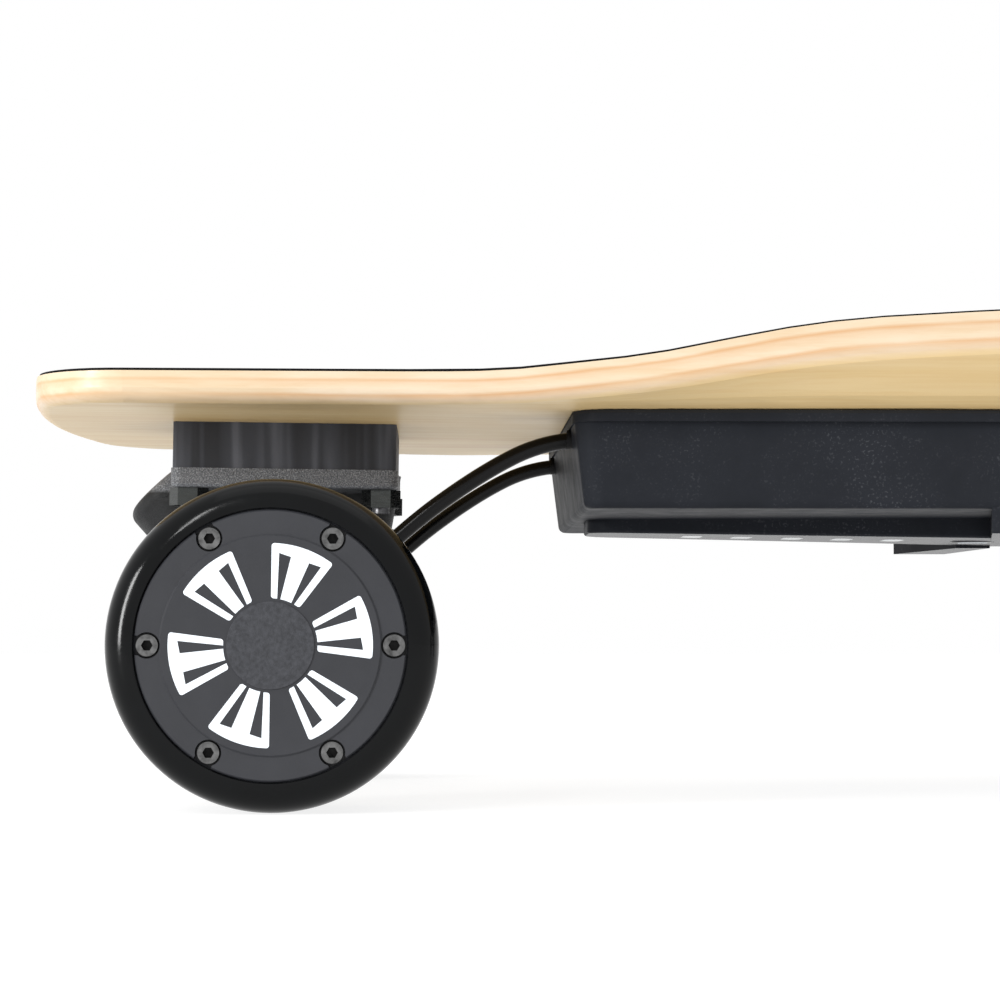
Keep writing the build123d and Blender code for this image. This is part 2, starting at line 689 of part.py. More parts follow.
def make_cap(side):
    """Outer motor cap with a raised disc and screw recesses open to its rim."""
    hub = hub_plane(REAR, side)
    hub_radius = MOTOR_BEARING_OUTER + 3
    with BuildPart() as cap:
        blank = turned(
            hub,
            [
                (0, OUTER_FACE + DISC_PROUD),
                (DISC_RADIUS, OUTER_FACE + DISC_PROUD),
                (DISC_RADIUS + 0.5, OUTER_FACE),
                (CAP_RADIUS - 0.4, OUTER_FACE),
                (CAP_RADIUS, OUTER_FACE - 0.4),
                (CAP_RADIUS, CAP_SEAT),
                (CAN_LIP, CAP_SEAT),
                (CAN_LIP, CAP_SEAT - 3),
                (hub_radius, CAP_SEAT - 3),
                (hub_radius, OUTER_BEARING[0]),
                (MOTOR_BEARING_OUTER, OUTER_BEARING[0]),
                (MOTOR_BEARING_OUTER, OUTER_BEARING[1] + 0.2),
                (0, OUTER_BEARING[1] + 0.2),
            ],
        )
        add(blank.part)
        with BuildSketch(hub.offset(OUTER_FACE - RECESS_DEPTH)):
            with PolarLocations(CAP_SCREW_CIRCLE, CAP_SCREWS):
                Circle(RECESS_RADIUS)
            with PolarLocations(CAP_SCREW_CIRCLE + RECESS_RADIUS, CAP_SCREWS):
                Rectangle(2 * RECESS_RADIUS, 1.5 * RECESS_RADIUS)
        extrude(amount=10, mode=Mode.SUBTRACT)
        with BuildSketch(hub.offset(OUTER_FACE)):
            with PolarLocations(CAP_SCREW_CIRCLE, CAP_SCREWS):
                Circle(CAP_SCREW_RADIUS)
        extrude(amount=-8, mode=Mode.SUBTRACT)
    return cap


def make_cap_screws(side):
    """Socket-head screws that hold the outer cap."""
    hub = hub_plane(REAR, side)
    seat = OUTER_FACE - RECESS_DEPTH
    with BuildPart() as screws:
        with BuildSketch(hub.offset(seat)):
            with PolarLocations(CAP_SCREW_CIRCLE, CAP_SCREWS):
                Circle(CAP_SCREW_RADIUS)
        extrude(amount=-CAP_SCREW_LENGTH)
        with BuildSketch(hub.offset(seat)):
            with PolarLocations(CAP_SCREW_CIRCLE, CAP_SCREWS):
                Circle(CAP_SCREW_HEAD)
        extrude(amount=CAP_SCREW_HEIGHT)
        with BuildSketch(hub.offset(seat + CAP_SCREW_HEIGHT)):
            with PolarLocations(CAP_SCREW_CIRCLE, CAP_SCREWS):
                RegularPolygon(CAP_SCREW_SOCKET[0], 6, major_radius=False)
        extrude(amount=-CAP_SCREW_SOCKET[1], mode=Mode.SUBTRACT)
    return screws


VANES = 6
VANE_ANGLE = 11.0  # degrees, middle of the first vane
VANE_SPREAD = 18.5  # degrees, half the angle of a vane
VANE_INNER = 11.6
VANE_OUTER = 25.2
VANE_SLOT = [(10.2, 1.3), (22.2, 2.35), (22.2, 5.45), (10.2, 1.86)]  # along and across the vane
VANE_FILM = 0.12


def make_cap_graphic(side):
    """Film with a ring of slotted fan vanes on the raised disc."""
    hub = hub_plane(REAR, side)
    spread = radians(VANE_SPREAD)
    with BuildPart() as graphic:
        with BuildSketch(mode=Mode.PRIVATE) as vane:
            with BuildLine():
                inner = (VANE_INNER * cos(spread), VANE_INNER * sin(spread))
                outer = (VANE_OUTER * cos(spread), VANE_OUTER * sin(spread))
                Line((inner[0], -inner[1]), (outer[0], -outer[1]))
                ThreePointArc((outer[0], -outer[1]), (VANE_OUTER, 0), outer)
                Line(outer, inner)
                ThreePointArc(inner, (VANE_INNER, 0), (inner[0], -inner[1]))
            make_face()
            fillet(vane.vertices(), 0.7)
            for slot_side in (-1, 1):
                with BuildLine():
                    Polyline(*[(along, slot_side * across) for along, across in VANE_SLOT], close=True)
                make_face(mode=Mode.SUBTRACT)
        with BuildSketch(hub.offset(OUTER_FACE + DISC_PROUD)):
            with PolarLocations(0, VANES, start_angle=VANE_ANGLE):
                add(vane.sketch)
        extrude(amount=VANE_FILM)
    return graphic


for side in (LEFT, RIGHT):
    wheel = f"rear_{SIDE_NAMES[side]}"
    hub = hub_plane(REAR, side)
    save(make_tyre(REAR, side, CAN_OUTER), f"{wheel}_tyre")
    save(make_rotor(side), f"{wheel}_rotor_can")
    save(make_magnets(side), f"{wheel}_magnets")
    save(make_cap(side), f"{wheel}_motor_cap")
    save(make_cap_screws(side), f"{wheel}_cap_screws")
    save(make_cap_graphic(side), f"{wheel}_cap_graphic")
    with BuildPart() as motor_bearings:
        for low, high in (INNER_BEARING, OUTER_BEARING):
            add(make_bearing(hub, MOTOR_SHAFT_RADIUS + RUNNING_PLAY, MOTOR_BEARING_OUTER, low, high).part)
    save(motor_bearings, f"{wheel}_bearings")

# ================================================================ front wheels
CORE_RADIUS = 27.0
BEARING_OUTER = 11.0
BEARING_WIDTH = 7.0
SPACER = 17.0
FRONT_INNER_BEARING = FRONT_SHOULDER + 1.0
FRONT_OUTER_BEARING = FRONT_INNER_BEARING + BEARING_WIDTH + SPACER
AXLE_NUT_FACE = FRONT_OUTER_BEARING + BEARING_WIDTH + 1.0
AXLE_NUT_HEIGHT = 6.0
FACE_PLAY = 0.05


def make_core(side):
    """Nylon core with two bearing seats and a web with round windows."""
    hub = hub_plane(FRONT, side)
    web_low = FRONT_OUTER_BEARING - 9
    web_high = FRONT_OUTER_BEARING + 2
    hub_wall = BEARING_OUTER + 3.5
    with BuildPart() as core:
        blank = turned(
            hub,
            [
                (BEARING_OUTER, FRONT_INNER_BEARING - 0.4),
                (hub_wall, FRONT_INNER_BEARING - 0.4),
                (hub_wall, web_low),
                (CORE_RADIUS - 3, web_low),
                (CORE_RADIUS - 3, INNER_FACE + 2),
                (CORE_RADIUS, INNER_FACE + 2),
                (CORE_RADIUS, OUTER_FACE - 2),
                (CORE_RADIUS - 3, OUTER_FACE - 2),
                (CORE_RADIUS - 3, web_high),
                (hub_wall, web_high),
                (hub_wall, FRONT_OUTER_BEARING + BEARING_WIDTH + 0.4),
                (BEARING_OUTER, FRONT_OUTER_BEARING + BEARING_WIDTH + 0.4),
                (BEARING_OUTER, FRONT_OUTER_BEARING),
                (BEARING_OUTER - 1.5, FRONT_OUTER_BEARING),
                (BEARING_OUTER - 1.5, FRONT_INNER_BEARING + BEARING_WIDTH),
                (BEARING_OUTER, FRONT_INNER_BEARING + BEARING_WIDTH),
            ],
        )
        add(blank.part)
        with BuildSketch(hub.offset(web_low - 1)):
            with PolarLocations((hub_wall + CORE_RADIUS - 3) / 2, 6):
                Circle(3.2)
        extrude(amount=web_high - web_low + 2, mode=Mode.SUBTRACT)
    return core


for side in (LEFT, RIGHT):
    wheel = f"front_{SIDE_NAMES[side]}"
    hub = hub_plane(FRONT, side)
    save(make_tyre(FRONT, side, CORE_RADIUS), f"{wheel}_tyre")
    save(make_core(side), f"{wheel}_core")
    with BuildPart() as wheel_bearings:
        for low in (FRONT_INNER_BEARING, FRONT_OUTER_BEARING):
            high = low + BEARING_WIDTH
            bore = FRONT_AXLE_RADIUS + RUNNING_PLAY
            add(make_bearing(hub, bore, BEARING_OUTER, low + FACE_PLAY, high - FACE_PLAY).part)
    save(wheel_bearings, f"{wheel}_bearings")

with BuildPart() as front_axle:
    with BuildSketch(hub_plane(FRONT, LEFT)):
        Circle(FRONT_AXLE_RADIUS)
    extrude(amount=AXLE_NUT_FACE + AXLE_NUT_HEIGHT + 1.5, both=True)
    chamfer(front_axle.edges(), 0.6)
save(front_axle, "front_axle")

with BuildPart() as axle_nuts:
    with BuildSketch(hub_plane(FRONT, LEFT).offset(AXLE_NUT_FACE)):
        RegularPolygon(6.5, 6, major_radius=False)
        Circle(FRONT_AXLE_RADIUS, mode=Mode.SUBTRACT)
    extrude(amount=AXLE_NUT_HEIGHT)
    mirror(about=Plane.XZ)
save(axle_nuts, "axle_nuts")

with BuildPart() as axle_spacers:
    for low, length in (
        (FRONT_SHOULDER, 1.0),
        (FRONT_INNER_BEARING + BEARING_WIDTH, SPACER),
        (FRONT_OUTER_BEARING + BEARING_WIDTH, 1.0),
    ):
        with BuildSketch(hub_plane(FRONT, LEFT).offset(low)):
            Circle(FRONT_AXLE_RADIUS + 1.6)
            Circle(FRONT_AXLE_RADIUS, mode=Mode.SUBTRACT)
        extrude(amount=length)
    mirror(about=Plane.XZ)
save(axle_spacers, "axle_spacers")

# ================================================================ enclosure
GASKET = 0.8
FLANGE = 2.2
FLANGE_TOP = DECK_Z - GASKET
FLANGE_BOTTOM = FLANGE_TOP - FLANGE
FLANGE_CORNER = 9.0
GASKET_WIDTH = 18.0
BODY_TOP = (221.8, 81.5)  # half length and half width under the flange
BODY_BOTTOM = (219.1, 78.8)
WALL = 2.5
FLOOR_Z = 80.0
BODY_ROUND = 2.0
SPINE_START = -214.8
SPINE_END = -91.0
SPINE_HALF_WIDTHS = (16.0, 27.0)
SPINE_Z = (73.7, 71.6)
SPINE_CORNER = 8.0
CHEVRON_Z = 70.9
PAN_Z = 73.4
PAN_FLOOR_Z = 76.0
SPINE_FLOOR_Z = 76.4
ARM = [(-112.3, 78.2), (-102.2, 26.0), (-92.0, 26.0), (-96.2, 78.2)]  # plan of one chevron arm
PAN_EDGE = [(-91.8, 17), (-96.75, 78.2)]
BOSS_RADIUS = 5.0
BUTTON_X = -102.4
BUTTON_RADIUS = 6.0
BUTTON_PLAY = 0.35
BUTTON_SHOULDER_Z = 73.8
BUTTON_Z = 71.5
BUTTON_FLANGE = 1.2
WINDOW_X = (-184.1, -169.7, -155.0, -140.5, -125.8)
WINDOW_LENGTH = 14.0
WINDOW_WIDTH = 5.6
LEAD_Y = 54.0
LEAD_Z = 97.2
GROMMET_RADIUS = 2.5
SOCKET_X = 140.0
SOCKET_Z = 88.0
SOCKET_FACE = 81.4
SOCKET_RADIUS = 6.5
PLATE_POSTS = [(x, y) for x in (126, 200) for y in (-50, 50)]
BOARD_POSTS = [(x, y) for x in (-196, -122) for y in (-50, 50)]
POST_TOP = 83.2

BODY_DRAFT = (BODY_TOP[0] - BODY_BOTTOM[0]) / (FLANGE_BOTTOM - ENCLOSURE_BOTTOM_Z)
SPINE_SLOPE = atan2(SPINE_Z[0] - SPINE_Z[1], SPINE_END - SPINE_START)
SPINE_PLANE = Plane(origin=(SPINE_START, 0, SPINE_Z[0]), z_dir=(sin(SPINE_SLOPE), 0, cos(SPINE_SLOPE)))


def body_section(height, inset, corner):
    """Rounded rectangle of the drafted enclosure at a height, moved in by an inset."""
    drawn_in = (FLANGE_BOTTOM - height) * BODY_DRAFT + inset
    with BuildSketch(Plane.XY.offset(height)) as section:
        RectangleRounded(2 * (BODY_TOP[0] - drawn_in), 2 * (BODY_TOP[1] - drawn_in), corner)
    return section.sketch


def spine_outline(inset):
    """Plan of the spine that carries the indicator windows."""
    with BuildSketch(Plane.XY.offset(CHEVRON_Z)) as plan:
        with BuildLine():
            start, end = SPINE_START + inset, SPINE_END
            narrow, wide = (width - inset for width in SPINE_HALF_WIDTHS)
            Polyline((start, -narrow), (end, -wide), (end, wide), (start, narrow), close=True)
        make_face()
        fillet(plan.vertices().group_by(Axis.X)[0], SPINE_CORNER - inset)
    return plan.sketch


with BuildPart() as spine:
    add(spine_outline(0))
    extrude(amount=FLOOR_Z - 1 - CHEVRON_Z)
    split(bisect_by=SPINE_PLANE, keep=Keep.TOP)
    fillet(spine.faces().sort_by(Axis.Z)[0].edges().filter_by(Axis.Z, reverse=True), 0.8)
    mirror(about=Plane.YZ)

with BuildPart() as chevrons:
    with BuildSketch(Plane.XY.offset(CHEVRON_Z)):
        with BuildLine():
            Polyline(*ARM, close=True)
        make_face()
    extrude(amount=FLOOR_Z - 1 - CHEVRON_Z)
    mirror(about=Plane.XZ)
    mirror(about=Plane.YZ)

with BuildPart() as enclosure_shell:
    add(body_section(FLANGE_BOTTOM, 0, 6))
    add(body_section(ENCLOSURE_BOTTOM_Z, 0, 5))
    loft()
    fillet(enclosure_shell.faces().sort_by(Axis.Z)[0].edges(), BODY_ROUND)
    with BuildSketch(Plane.XY.offset(FLANGE_BOTTOM)):
        RectangleRounded(2 * ENCLOSURE_HALF_LENGTH, 2 * ENCLOSURE_HALF_WIDTH, FLANGE_CORNER)
    extrude(amount=FLANGE)
    add(spine.part)
    with BuildSketch(Plane.XY.offset(PAN_Z)):
        with BuildLine():
            edge = [(x, -y) for x, y in reversed(PAN_EDGE)] + PAN_EDGE
            Polyline(*edge, *[(-x, y) for x, y in reversed(edge)], close=True)
        make_face()
    extrude(amount=FLOOR_Z - 1 - PAN_Z)
    add(chevrons.part)
    add(body_section(FLANGE_BOTTOM, WALL, 3.5))
    add(body_section(FLOOR_Z, WALL, 3.5))
    loft(mode=Mode.SUBTRACT)
    with BuildSketch(Plane.XY.offset(FLANGE_BOTTOM)):
        RectangleRounded(2 * (BODY_TOP[0] - WALL), 2 * (BODY_TOP[1] - WALL), 3.5)
    extrude(amount=FLANGE, mode=Mode.SUBTRACT)
    with BuildSketch(Plane.XY.offset(PAN_FLOOR_Z)):
        RectangleRounded(180, 150, 3)
    extrude(amount=10, mode=Mode.SUBTRACT)
    with BuildPart(mode=Mode.PRIVATE) as spine_hollow:
        add(spine_outline(WALL))
        extrude(amount=20)
        split(bisect_by=Plane.XY.offset(SPINE_FLOOR_Z), keep=Keep.TOP)
        split(bisect_by=Plane.YZ.offset(BUTTON_X - 10), keep=Keep.BOTTOM)
        mirror(about=Plane.YZ)
    add(spine_hollow.part, mode=Mode.SUBTRACT)
    with BuildSketch(Plane.XY.offset(FLOOR_Z - 1)):
        with Locations(*SCREW_PLACES):
            Circle(BOSS_RADIUS)
    extrude(amount=FLANGE_TOP - FLOOR_Z + 1)
    with BuildSketch(Plane.XY.offset(FLOOR_Z - 1)):
        with Locations(*PLATE_POSTS, *BOARD_POSTS):
            Circle(3)
    extrude(amount=POST_TOP - FLOOR_Z + 1)
    with BuildSketch(Plane.XY.offset(SOCKET_Z - 7.5)):
        with Locations((SOCKET_X - 3, SOCKET_FACE - 4)):
            Rectangle(34, 8)
    extrude(amount=15)
    with BuildSketch(Plane.XY.offset(FLANGE_TOP)):
        with Locations(*SCREW_PLACES):
            Circle(SCREW_RADIUS)
    extrude(amount=-16, mode=Mode.SUBTRACT)
    with BuildSketch(Plane.XZ.offset(-SOCKET_FACE)):
        with Locations((SOCKET_X, SOCKET_Z)):
            Circle(SOCKET_RADIUS)
    extrude(amount=20, mode=Mode.SUBTRACT)
    with BuildSketch(Plane.YZ.offset(-BODY_TOP[0] - 2)):
        with Locations((-LEAD_Y, LEAD_Z), (LEAD_Y, LEAD_Z)):
            Circle(GROMMET_RADIUS)
    extrude(amount=8, mode=Mode.SUBTRACT)
    with BuildSketch(Plane.XY.offset(CHEVRON_Z - 1)):
        with Locations((BUTTON_X, 0)):
            Circle(BUTTON_RADIUS + BUTTON_PLAY)
        with Locations(*[(x, 0) for x in WINDOW_X]):
            RectangleRounded(WINDOW_WIDTH, WINDOW_LENGTH, WINDOW_WIDTH / 2 - 0.2)
    extrude(amount=10, mode=Mode.SUBTRACT)
    with BuildSketch(Plane.XY.offset(BUTTON_SHOULDER_Z)):
        with Locations((BUTTON_X, 0)):
            Circle(BUTTON_RADIUS + 1.6)
    extrude(amount=10, mode=Mode.SUBTRACT)
save(enclosure_shell, "enclosure_shell")

with BuildPart() as enclosure_gasket:
    with BuildSketch(Plane.XY.offset(FLANGE_TOP)):
        RectangleRounded(2 * ENCLOSURE_HALF_LENGTH, 2 * ENCLOSURE_HALF_WIDTH, FLANGE_CORNER)
        RectangleRounded(
            2 * (ENCLOSURE_HALF_LENGTH - GASKET_WIDTH),
            2 * (ENCLOSURE_HALF_WIDTH - GASKET_WIDTH),
            4,
            mode=Mode.SUBTRACT,
        )
        with Locations(*SCREW_PLACES):
            Circle(SCREW_RADIUS + HOLE_PLAY, mode=Mode.SUBTRACT)
    extrude(amount=GASKET)
save(enclosure_gasket, "enclosure_gasket")

with BuildPart() as enclosure_screws:
    with Locations(Plane.XY.offset(DECK_Z + PLY_THICKNESS)):
        with Locations(*SCREW_PLACES):
            Cylinder(SCREW_RADIUS, SCREW_LENGTH, align=(Align.CENTER, Align.CENTER, Align.MAX))
            Cone(
                SCREW_RADIUS,
                SCREW_HEAD_RADIUS,
                SCREW_HEAD_HEIGHT,
                align=(Align.CENTER, Align.CENTER, Align.MAX),
            )
            Cylinder(*SCREW_SOCKET, align=(Align.CENTER, Align.CENTER, Align.MAX), mode=Mode.SUBTRACT)
save(enclosure_screws, "enclosure_screws")

with BuildPart() as power_button:
    with BuildSketch(Plane.XY.offset(BUTTON_Z)):
        with Locations((BUTTON_X, 0)):
            Circle(BUTTON_RADIUS)
    extrude(amount=4)
    with BuildSketch(Plane.XY.offset(BUTTON_SHOULDER_Z + 0.3)):
        with Locations((BUTTON_X, 0)):
            Circle(BUTTON_RADIUS + 1.2)
    extrude(amount=BUTTON_FLANGE)
    fillet(power_button.edges().sort_by(Axis.Z)[0], 0.4)
save(power_button, "power_button")

with BuildPart() as indicator_windows:
    with BuildSketch(Plane.XY.offset(CHEVRON_Z)):
        with Locations(*[(x, 0) for x in WINDOW_X]):
            RectangleRounded(WINDOW_WIDTH, WINDOW_LENGTH, WINDOW_WIDTH / 2 - 0.2)
    extrude(amount=SPINE_FLOOR_Z - CHEVRON_Z)
    split(bisect_by=SPINE_PLANE.offset(-0.05), keep=Keep.TOP)
save(indicator_windows, "indicator_windows")

with BuildPart() as lead_grommets:
    for side in (LEFT, RIGHT):
        with BuildSketch(Plane.YZ.offset(-BODY_TOP[0] - 0.05)):
            with Locations((side * LEAD_Y, LEAD_Z)):
                Circle(GROMMET_RADIUS + 0.1)
        extrude(amount=-1)
        with BuildSketch(Plane.YZ.offset(-BODY_TOP[0] - 0.05)):
            with Locations((side * LEAD_Y, LEAD_Z)):
                Circle(GROMMET_RADIUS)
        extrude(amount=4)
        with BuildSketch(Plane.YZ.offset(-BODY_TOP[0] - 2)):
            with Locations((side * LEAD_Y, LEAD_Z)):
                Circle(LEAD_DIAMETER / 2 + 0.04)
        extrude(amount=8, mode=Mode.SUBTRACT)
save(lead_grommets, "lead_grommets")

# ================================================================ charge socket and its cap
HINGE_X = SOCKET_X - 12.5
SOCKET_PLATE = 1.0
HINGE_PIN_RADIUS = 0.9
KNUCKLE_RADIUS = 1.9
HINGE_Y = SOCKET_FACE + SOCKET_PLATE + KNUCKLE_RADIUS + 0.3
KNUCKLE_HALF = 3.5
LUG_TOP = 6.2
CAP_PLATE = 1.5
CAP_GAP = 0.3
PLUG_RECESS_RADIUS = 4.0
PLUG_RECESS_DEPTH = 7.0
CHARGE_PIN_RADIUS = 1.0


def across_wall(distance):
    """Plane parallel to the side wall at a distance from the middle, its Z axis outward."""
    return Plane(origin=(0, distance, SOCKET_Z), x_dir=(-1, 0, 0), z_dir=(0, 1, 0))


plate_face = SOCKET_FACE + SOCKET_PLATE
with BuildPart() as charge_socket:
    with BuildSketch(across_wall(SOCKET_FACE)):
        with Locations((-SOCKET_X + 3, 0)):
            RectangleRounded(30, 14, 2)
    extrude(amount=SOCKET_PLATE)
    with BuildSketch(across_wall(SOCKET_FACE)):
        with Locations((-SOCKET_X, 0)):
            Circle(SOCKET_RADIUS)
    extrude(amount=-14)
    with BuildSketch(across_wall(plate_face)):
        with Locations((-SOCKET_X, 0)):
            Circle(PLUG_RECESS_RADIUS)
    extrude(amount=-PLUG_RECESS_DEPTH, mode=Mode.SUBTRACT)
    with BuildSketch(across_wall(plate_face)):
        with Locations((-SOCKET_X, 0)):
            Circle(2.8)
    extrude(amount=-PLUG_RECESS_DEPTH - 5, mode=Mode.SUBTRACT)
    with BuildSketch(across_wall(plate_face - PLUG_RECESS_DEPTH - 5.5)):
        with Locations((-SOCKET_X, 0)):
            Circle(CHARGE_PIN_RADIUS)
    extrude(amount=5)
    for low in (-LUG_TOP, KNUCKLE_HALF + CAP_GAP):
        with BuildSketch(Plane.XY.offset(SOCKET_Z + low)):
            with Locations((HINGE_X, HINGE_Y)):
                Circle(KNUCKLE_RADIUS)
            with Locations((HINGE_X, (HINGE_Y + SOCKET_FACE + 0.5) / 2)):
                Rectangle(2 * KNUCKLE_RADIUS, HINGE_Y - SOCKET_FACE - 0.5)
        extrude(amount=LUG_TOP - KNUCKLE_HALF - CAP_GAP)
    with BuildSketch(Plane.XY.offset(SOCKET_Z - LUG_TOP)):
        with Locations((HINGE_X, HINGE_Y)):
            Circle(HINGE_PIN_RADIUS)
    extrude(amount=2 * LUG_TOP)
save(charge_socket, "charge_socket")

with BuildPart() as charge_cap:
    with BuildSketch(across_wall(plate_face + CAP_GAP)):
        with Locations((-SOCKET_X, 0)):
            Circle(6.6)
        with Locations((-(SOCKET_X + HINGE_X) / 2, 0)):
            Rectangle(SOCKET_X - HINGE_X, 2 * KNUCKLE_HALF)
    extrude(amount=CAP_PLATE)
    with BuildSketch(Plane.XY.offset(SOCKET_Z - KNUCKLE_HALF)):
        with Locations((HINGE_X, HINGE_Y)):
            Circle(KNUCKLE_RADIUS)
    extrude(amount=2 * KNUCKLE_HALF)
    with BuildSketch(Plane.XY.offset(SOCKET_Z - KNUCKLE_HALF)):
        with Locations((HINGE_X, HINGE_Y)):
            Circle(HINGE_PIN_RADIUS + RUNNING_PLAY)
    extrude(amount=2 * KNUCKLE_HALF, mode=Mode.SUBTRACT)
    split(bisect_by=Plane.YZ.offset(HINGE_X - KNUCKLE_RADIUS), keep=Keep.TOP)
save(charge_cap, "charge_cap")

# ================================================================ battery and electronics
CELL_RADIUS = 9.1
CELL_LENGTH = 65.0
CELL_PITCH = 19.0
CELLS_PER_ROW = 10
CELL_Z = 89.6
CELL_END = 2.3
HOLDER_Z = (PAN_FLOOR_Z, 100.5)
HOLDER_STARTS = (6.0, 58.0, -10.0, -62.0)
HOLDER_WIDTH = 4.0
CONTROLLER_X = -159.0
BATTERY_BOARD_X = 163.0
BOARD_SIZE = (84.0, 110.0)
BOARD_THICKNESS = 1.6
HEAT_PLATE = 2.0
TALL_PARTS = 12.5
LOW_PARTS = 4.5

with BuildPart() as battery_cells:
    for side in (LEFT, RIGHT):
        with BuildSketch(Plane((0, side * CELL_END, CELL_Z), x_dir=(1, 0, 0), z_dir=(0, side, 0))):
            with GridLocations(CELL_PITCH, 1, CELLS_PER_ROW, 1):
                Circle(CELL_RADIUS)
        extrude(amount=CELL_LENGTH)
    rims = battery_cells.edges().filter_by(GeomType.CIRCLE)
    chamfer(rims, 0.7)
save(battery_cells, "battery_cells")

with BuildPart() as battery_holders:
    for start in HOLDER_STARTS:
        middle = (HOLDER_Z[0] + HOLDER_Z[1]) / 2
        with BuildSketch(Plane((0, start, middle), x_dir=(1, 0, 0), z_dir=(0, 1, 0))):
            RectangleRounded(CELLS_PER_ROW * CELL_PITCH - 12, HOLDER_Z[1] - HOLDER_Z[0], 2)
        extrude(amount=HOLDER_WIDTH)
        with BuildSketch(Plane((0, start, CELL_Z), x_dir=(1, 0, 0), z_dir=(0, 1, 0))):
            with GridLocations(CELL_PITCH, 1, CELLS_PER_ROW, 1):
                Circle(CELL_RADIUS + 0.1)
        extrude(amount=HOLDER_WIDTH, mode=Mode.SUBTRACT)
save(battery_holders, "battery_holders")

with BuildPart() as heat_plate:
    with BuildSketch(Plane.XY.offset(FLOOR_Z)):
        with Locations((CONTROLLER_X, 0)):
            RectangleRounded(86, 88, 3)
    extrude(amount=HEAT_PLATE)
save(heat_plate, "heat_plate")

with BuildPart() as controller_board:
    with BuildSketch(Plane.XY.offset(POST_TOP)):
        with Locations((CONTROLLER_X, 0)):
            RectangleRounded(*BOARD_SIZE, 2)
    extrude(amount=BOARD_THICKNESS)
save(controller_board, "controller_board")

with BuildPart() as controller_parts:
    with BuildSketch(Plane.XY.offset(FLOOR_Z + HEAT_PLATE)):
        with Locations((CONTROLLER_X, 0)):
            with GridLocations(14, 56, 6, 2):
                Rectangle(10, 14)
    extrude(amount=POST_TOP - FLOOR_Z - HEAT_PLATE)
    with BuildSketch(Plane.XY.offset(POST_TOP + BOARD_THICKNESS)):
        with Locations((CONTROLLER_X, 0)):
            with GridLocations(24, 60, 3, 2):
                Circle(6.3)
        with Locations((-150, 0)):
            Rectangle(30, 12)
        with Locations((-184, 0)):
            Rectangle(14, 14)
    extrude(amount=TALL_PARTS)
save(controller_parts, "controller_parts")

with BuildPart() as battery_board:
    with BuildSketch(Plane.XY.offset(POST_TOP)):
        with Locations((BATTERY_BOARD_X, 0)):
            RectangleRounded(*BOARD_SIZE, 2)
    extrude(amount=BOARD_THICKNESS)
    with BuildSketch(Plane.XY.offset(POST_TOP + BOARD_THICKNESS)):
        with Locations((BATTERY_BOARD_X, 0)):
            with GridLocations(12, 80, 6, 2):
                Rectangle(8, 10)
            Rectangle(24, 24)
    extrude(amount=LOW_PARTS)
save(battery_board, "battery_board")

# ================================================================ motor leads
LEAD_ROUTE = [  # inward from the axle, sideways, height
    (6.5, 57.0, 48.0),
    (29.0, 56.0, 70.5),
    (52.5, 54.6, 87.9),
    (71.0, LEAD_Y, LEAD_Z),
    (82.0, LEAD_Y, LEAD_Z),
]


def bend_radii(points):
    """Radius at each corner that uses just under half of the shorter run beside it."""
    radii = []
    for before, corner, after in zip(points, points[1:], points[2:]):
        turn = (corner - before).get_angle(after - corner)
        shorter = min((corner - before).length, (after - corner).length)
        radii.append(0.45 * shorter / tan(radians(turn / 2)))
    return radii


for side in (LEFT, RIGHT):
    route = [Vector(inward - AXLE_X, side * across, height) for inward, across, height in LEAD_ROUTE]
    radii = bend_radii(route)
    with BuildPart() as motor_lead:
        with BuildLine():
            FilletPolyline(*route, radius=radii)
        with BuildSketch(Plane(origin=route[0], z_dir=route[1] - route[0])):
            Circle(LEAD_DIAMETER / 2)
        sweep()
    save(motor_lead, f"{SIDE_NAMES[side]}_motor_lead")
    print(f"{SIDE_NAMES[side]} lead: radii {[round(radius, 1) for radius in radii]} mm")
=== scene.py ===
# Electric skateboard: looks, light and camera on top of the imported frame. Metres, +Z up.
import json
import math

import bmesh
import bpy
from mathutils import Matrix, Vector
from mathutils.bvhtree import BVHTree


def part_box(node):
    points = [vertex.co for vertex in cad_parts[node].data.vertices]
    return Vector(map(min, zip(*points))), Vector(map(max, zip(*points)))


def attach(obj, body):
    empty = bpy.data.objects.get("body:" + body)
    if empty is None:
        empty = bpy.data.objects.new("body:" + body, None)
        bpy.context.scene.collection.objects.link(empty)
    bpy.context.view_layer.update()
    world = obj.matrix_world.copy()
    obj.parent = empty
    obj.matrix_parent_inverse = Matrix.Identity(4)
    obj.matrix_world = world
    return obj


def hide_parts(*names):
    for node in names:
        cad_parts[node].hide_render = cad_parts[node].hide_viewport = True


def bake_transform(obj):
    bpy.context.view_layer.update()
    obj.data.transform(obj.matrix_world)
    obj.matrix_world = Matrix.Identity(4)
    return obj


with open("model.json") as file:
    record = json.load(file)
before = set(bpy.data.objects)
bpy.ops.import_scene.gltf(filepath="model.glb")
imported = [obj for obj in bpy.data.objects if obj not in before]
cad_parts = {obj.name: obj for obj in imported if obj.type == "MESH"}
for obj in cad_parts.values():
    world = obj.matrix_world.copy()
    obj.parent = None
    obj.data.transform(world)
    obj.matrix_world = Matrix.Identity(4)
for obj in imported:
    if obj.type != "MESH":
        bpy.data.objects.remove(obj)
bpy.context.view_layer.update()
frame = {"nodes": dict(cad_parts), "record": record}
nodes = frame["nodes"]
MILLIMETRES = 1000  # in a metre


def place_piece(name, mesh, material):
    """New object in the scene that shows a mesh in one material."""
    piece = bpy.data.objects.new(name, mesh)
    bpy.context.collection.objects.link(piece)
    mesh.materials.clear()
    mesh.materials.append(material)
    return piece


# ---------------------------------------------------------------- material helpers


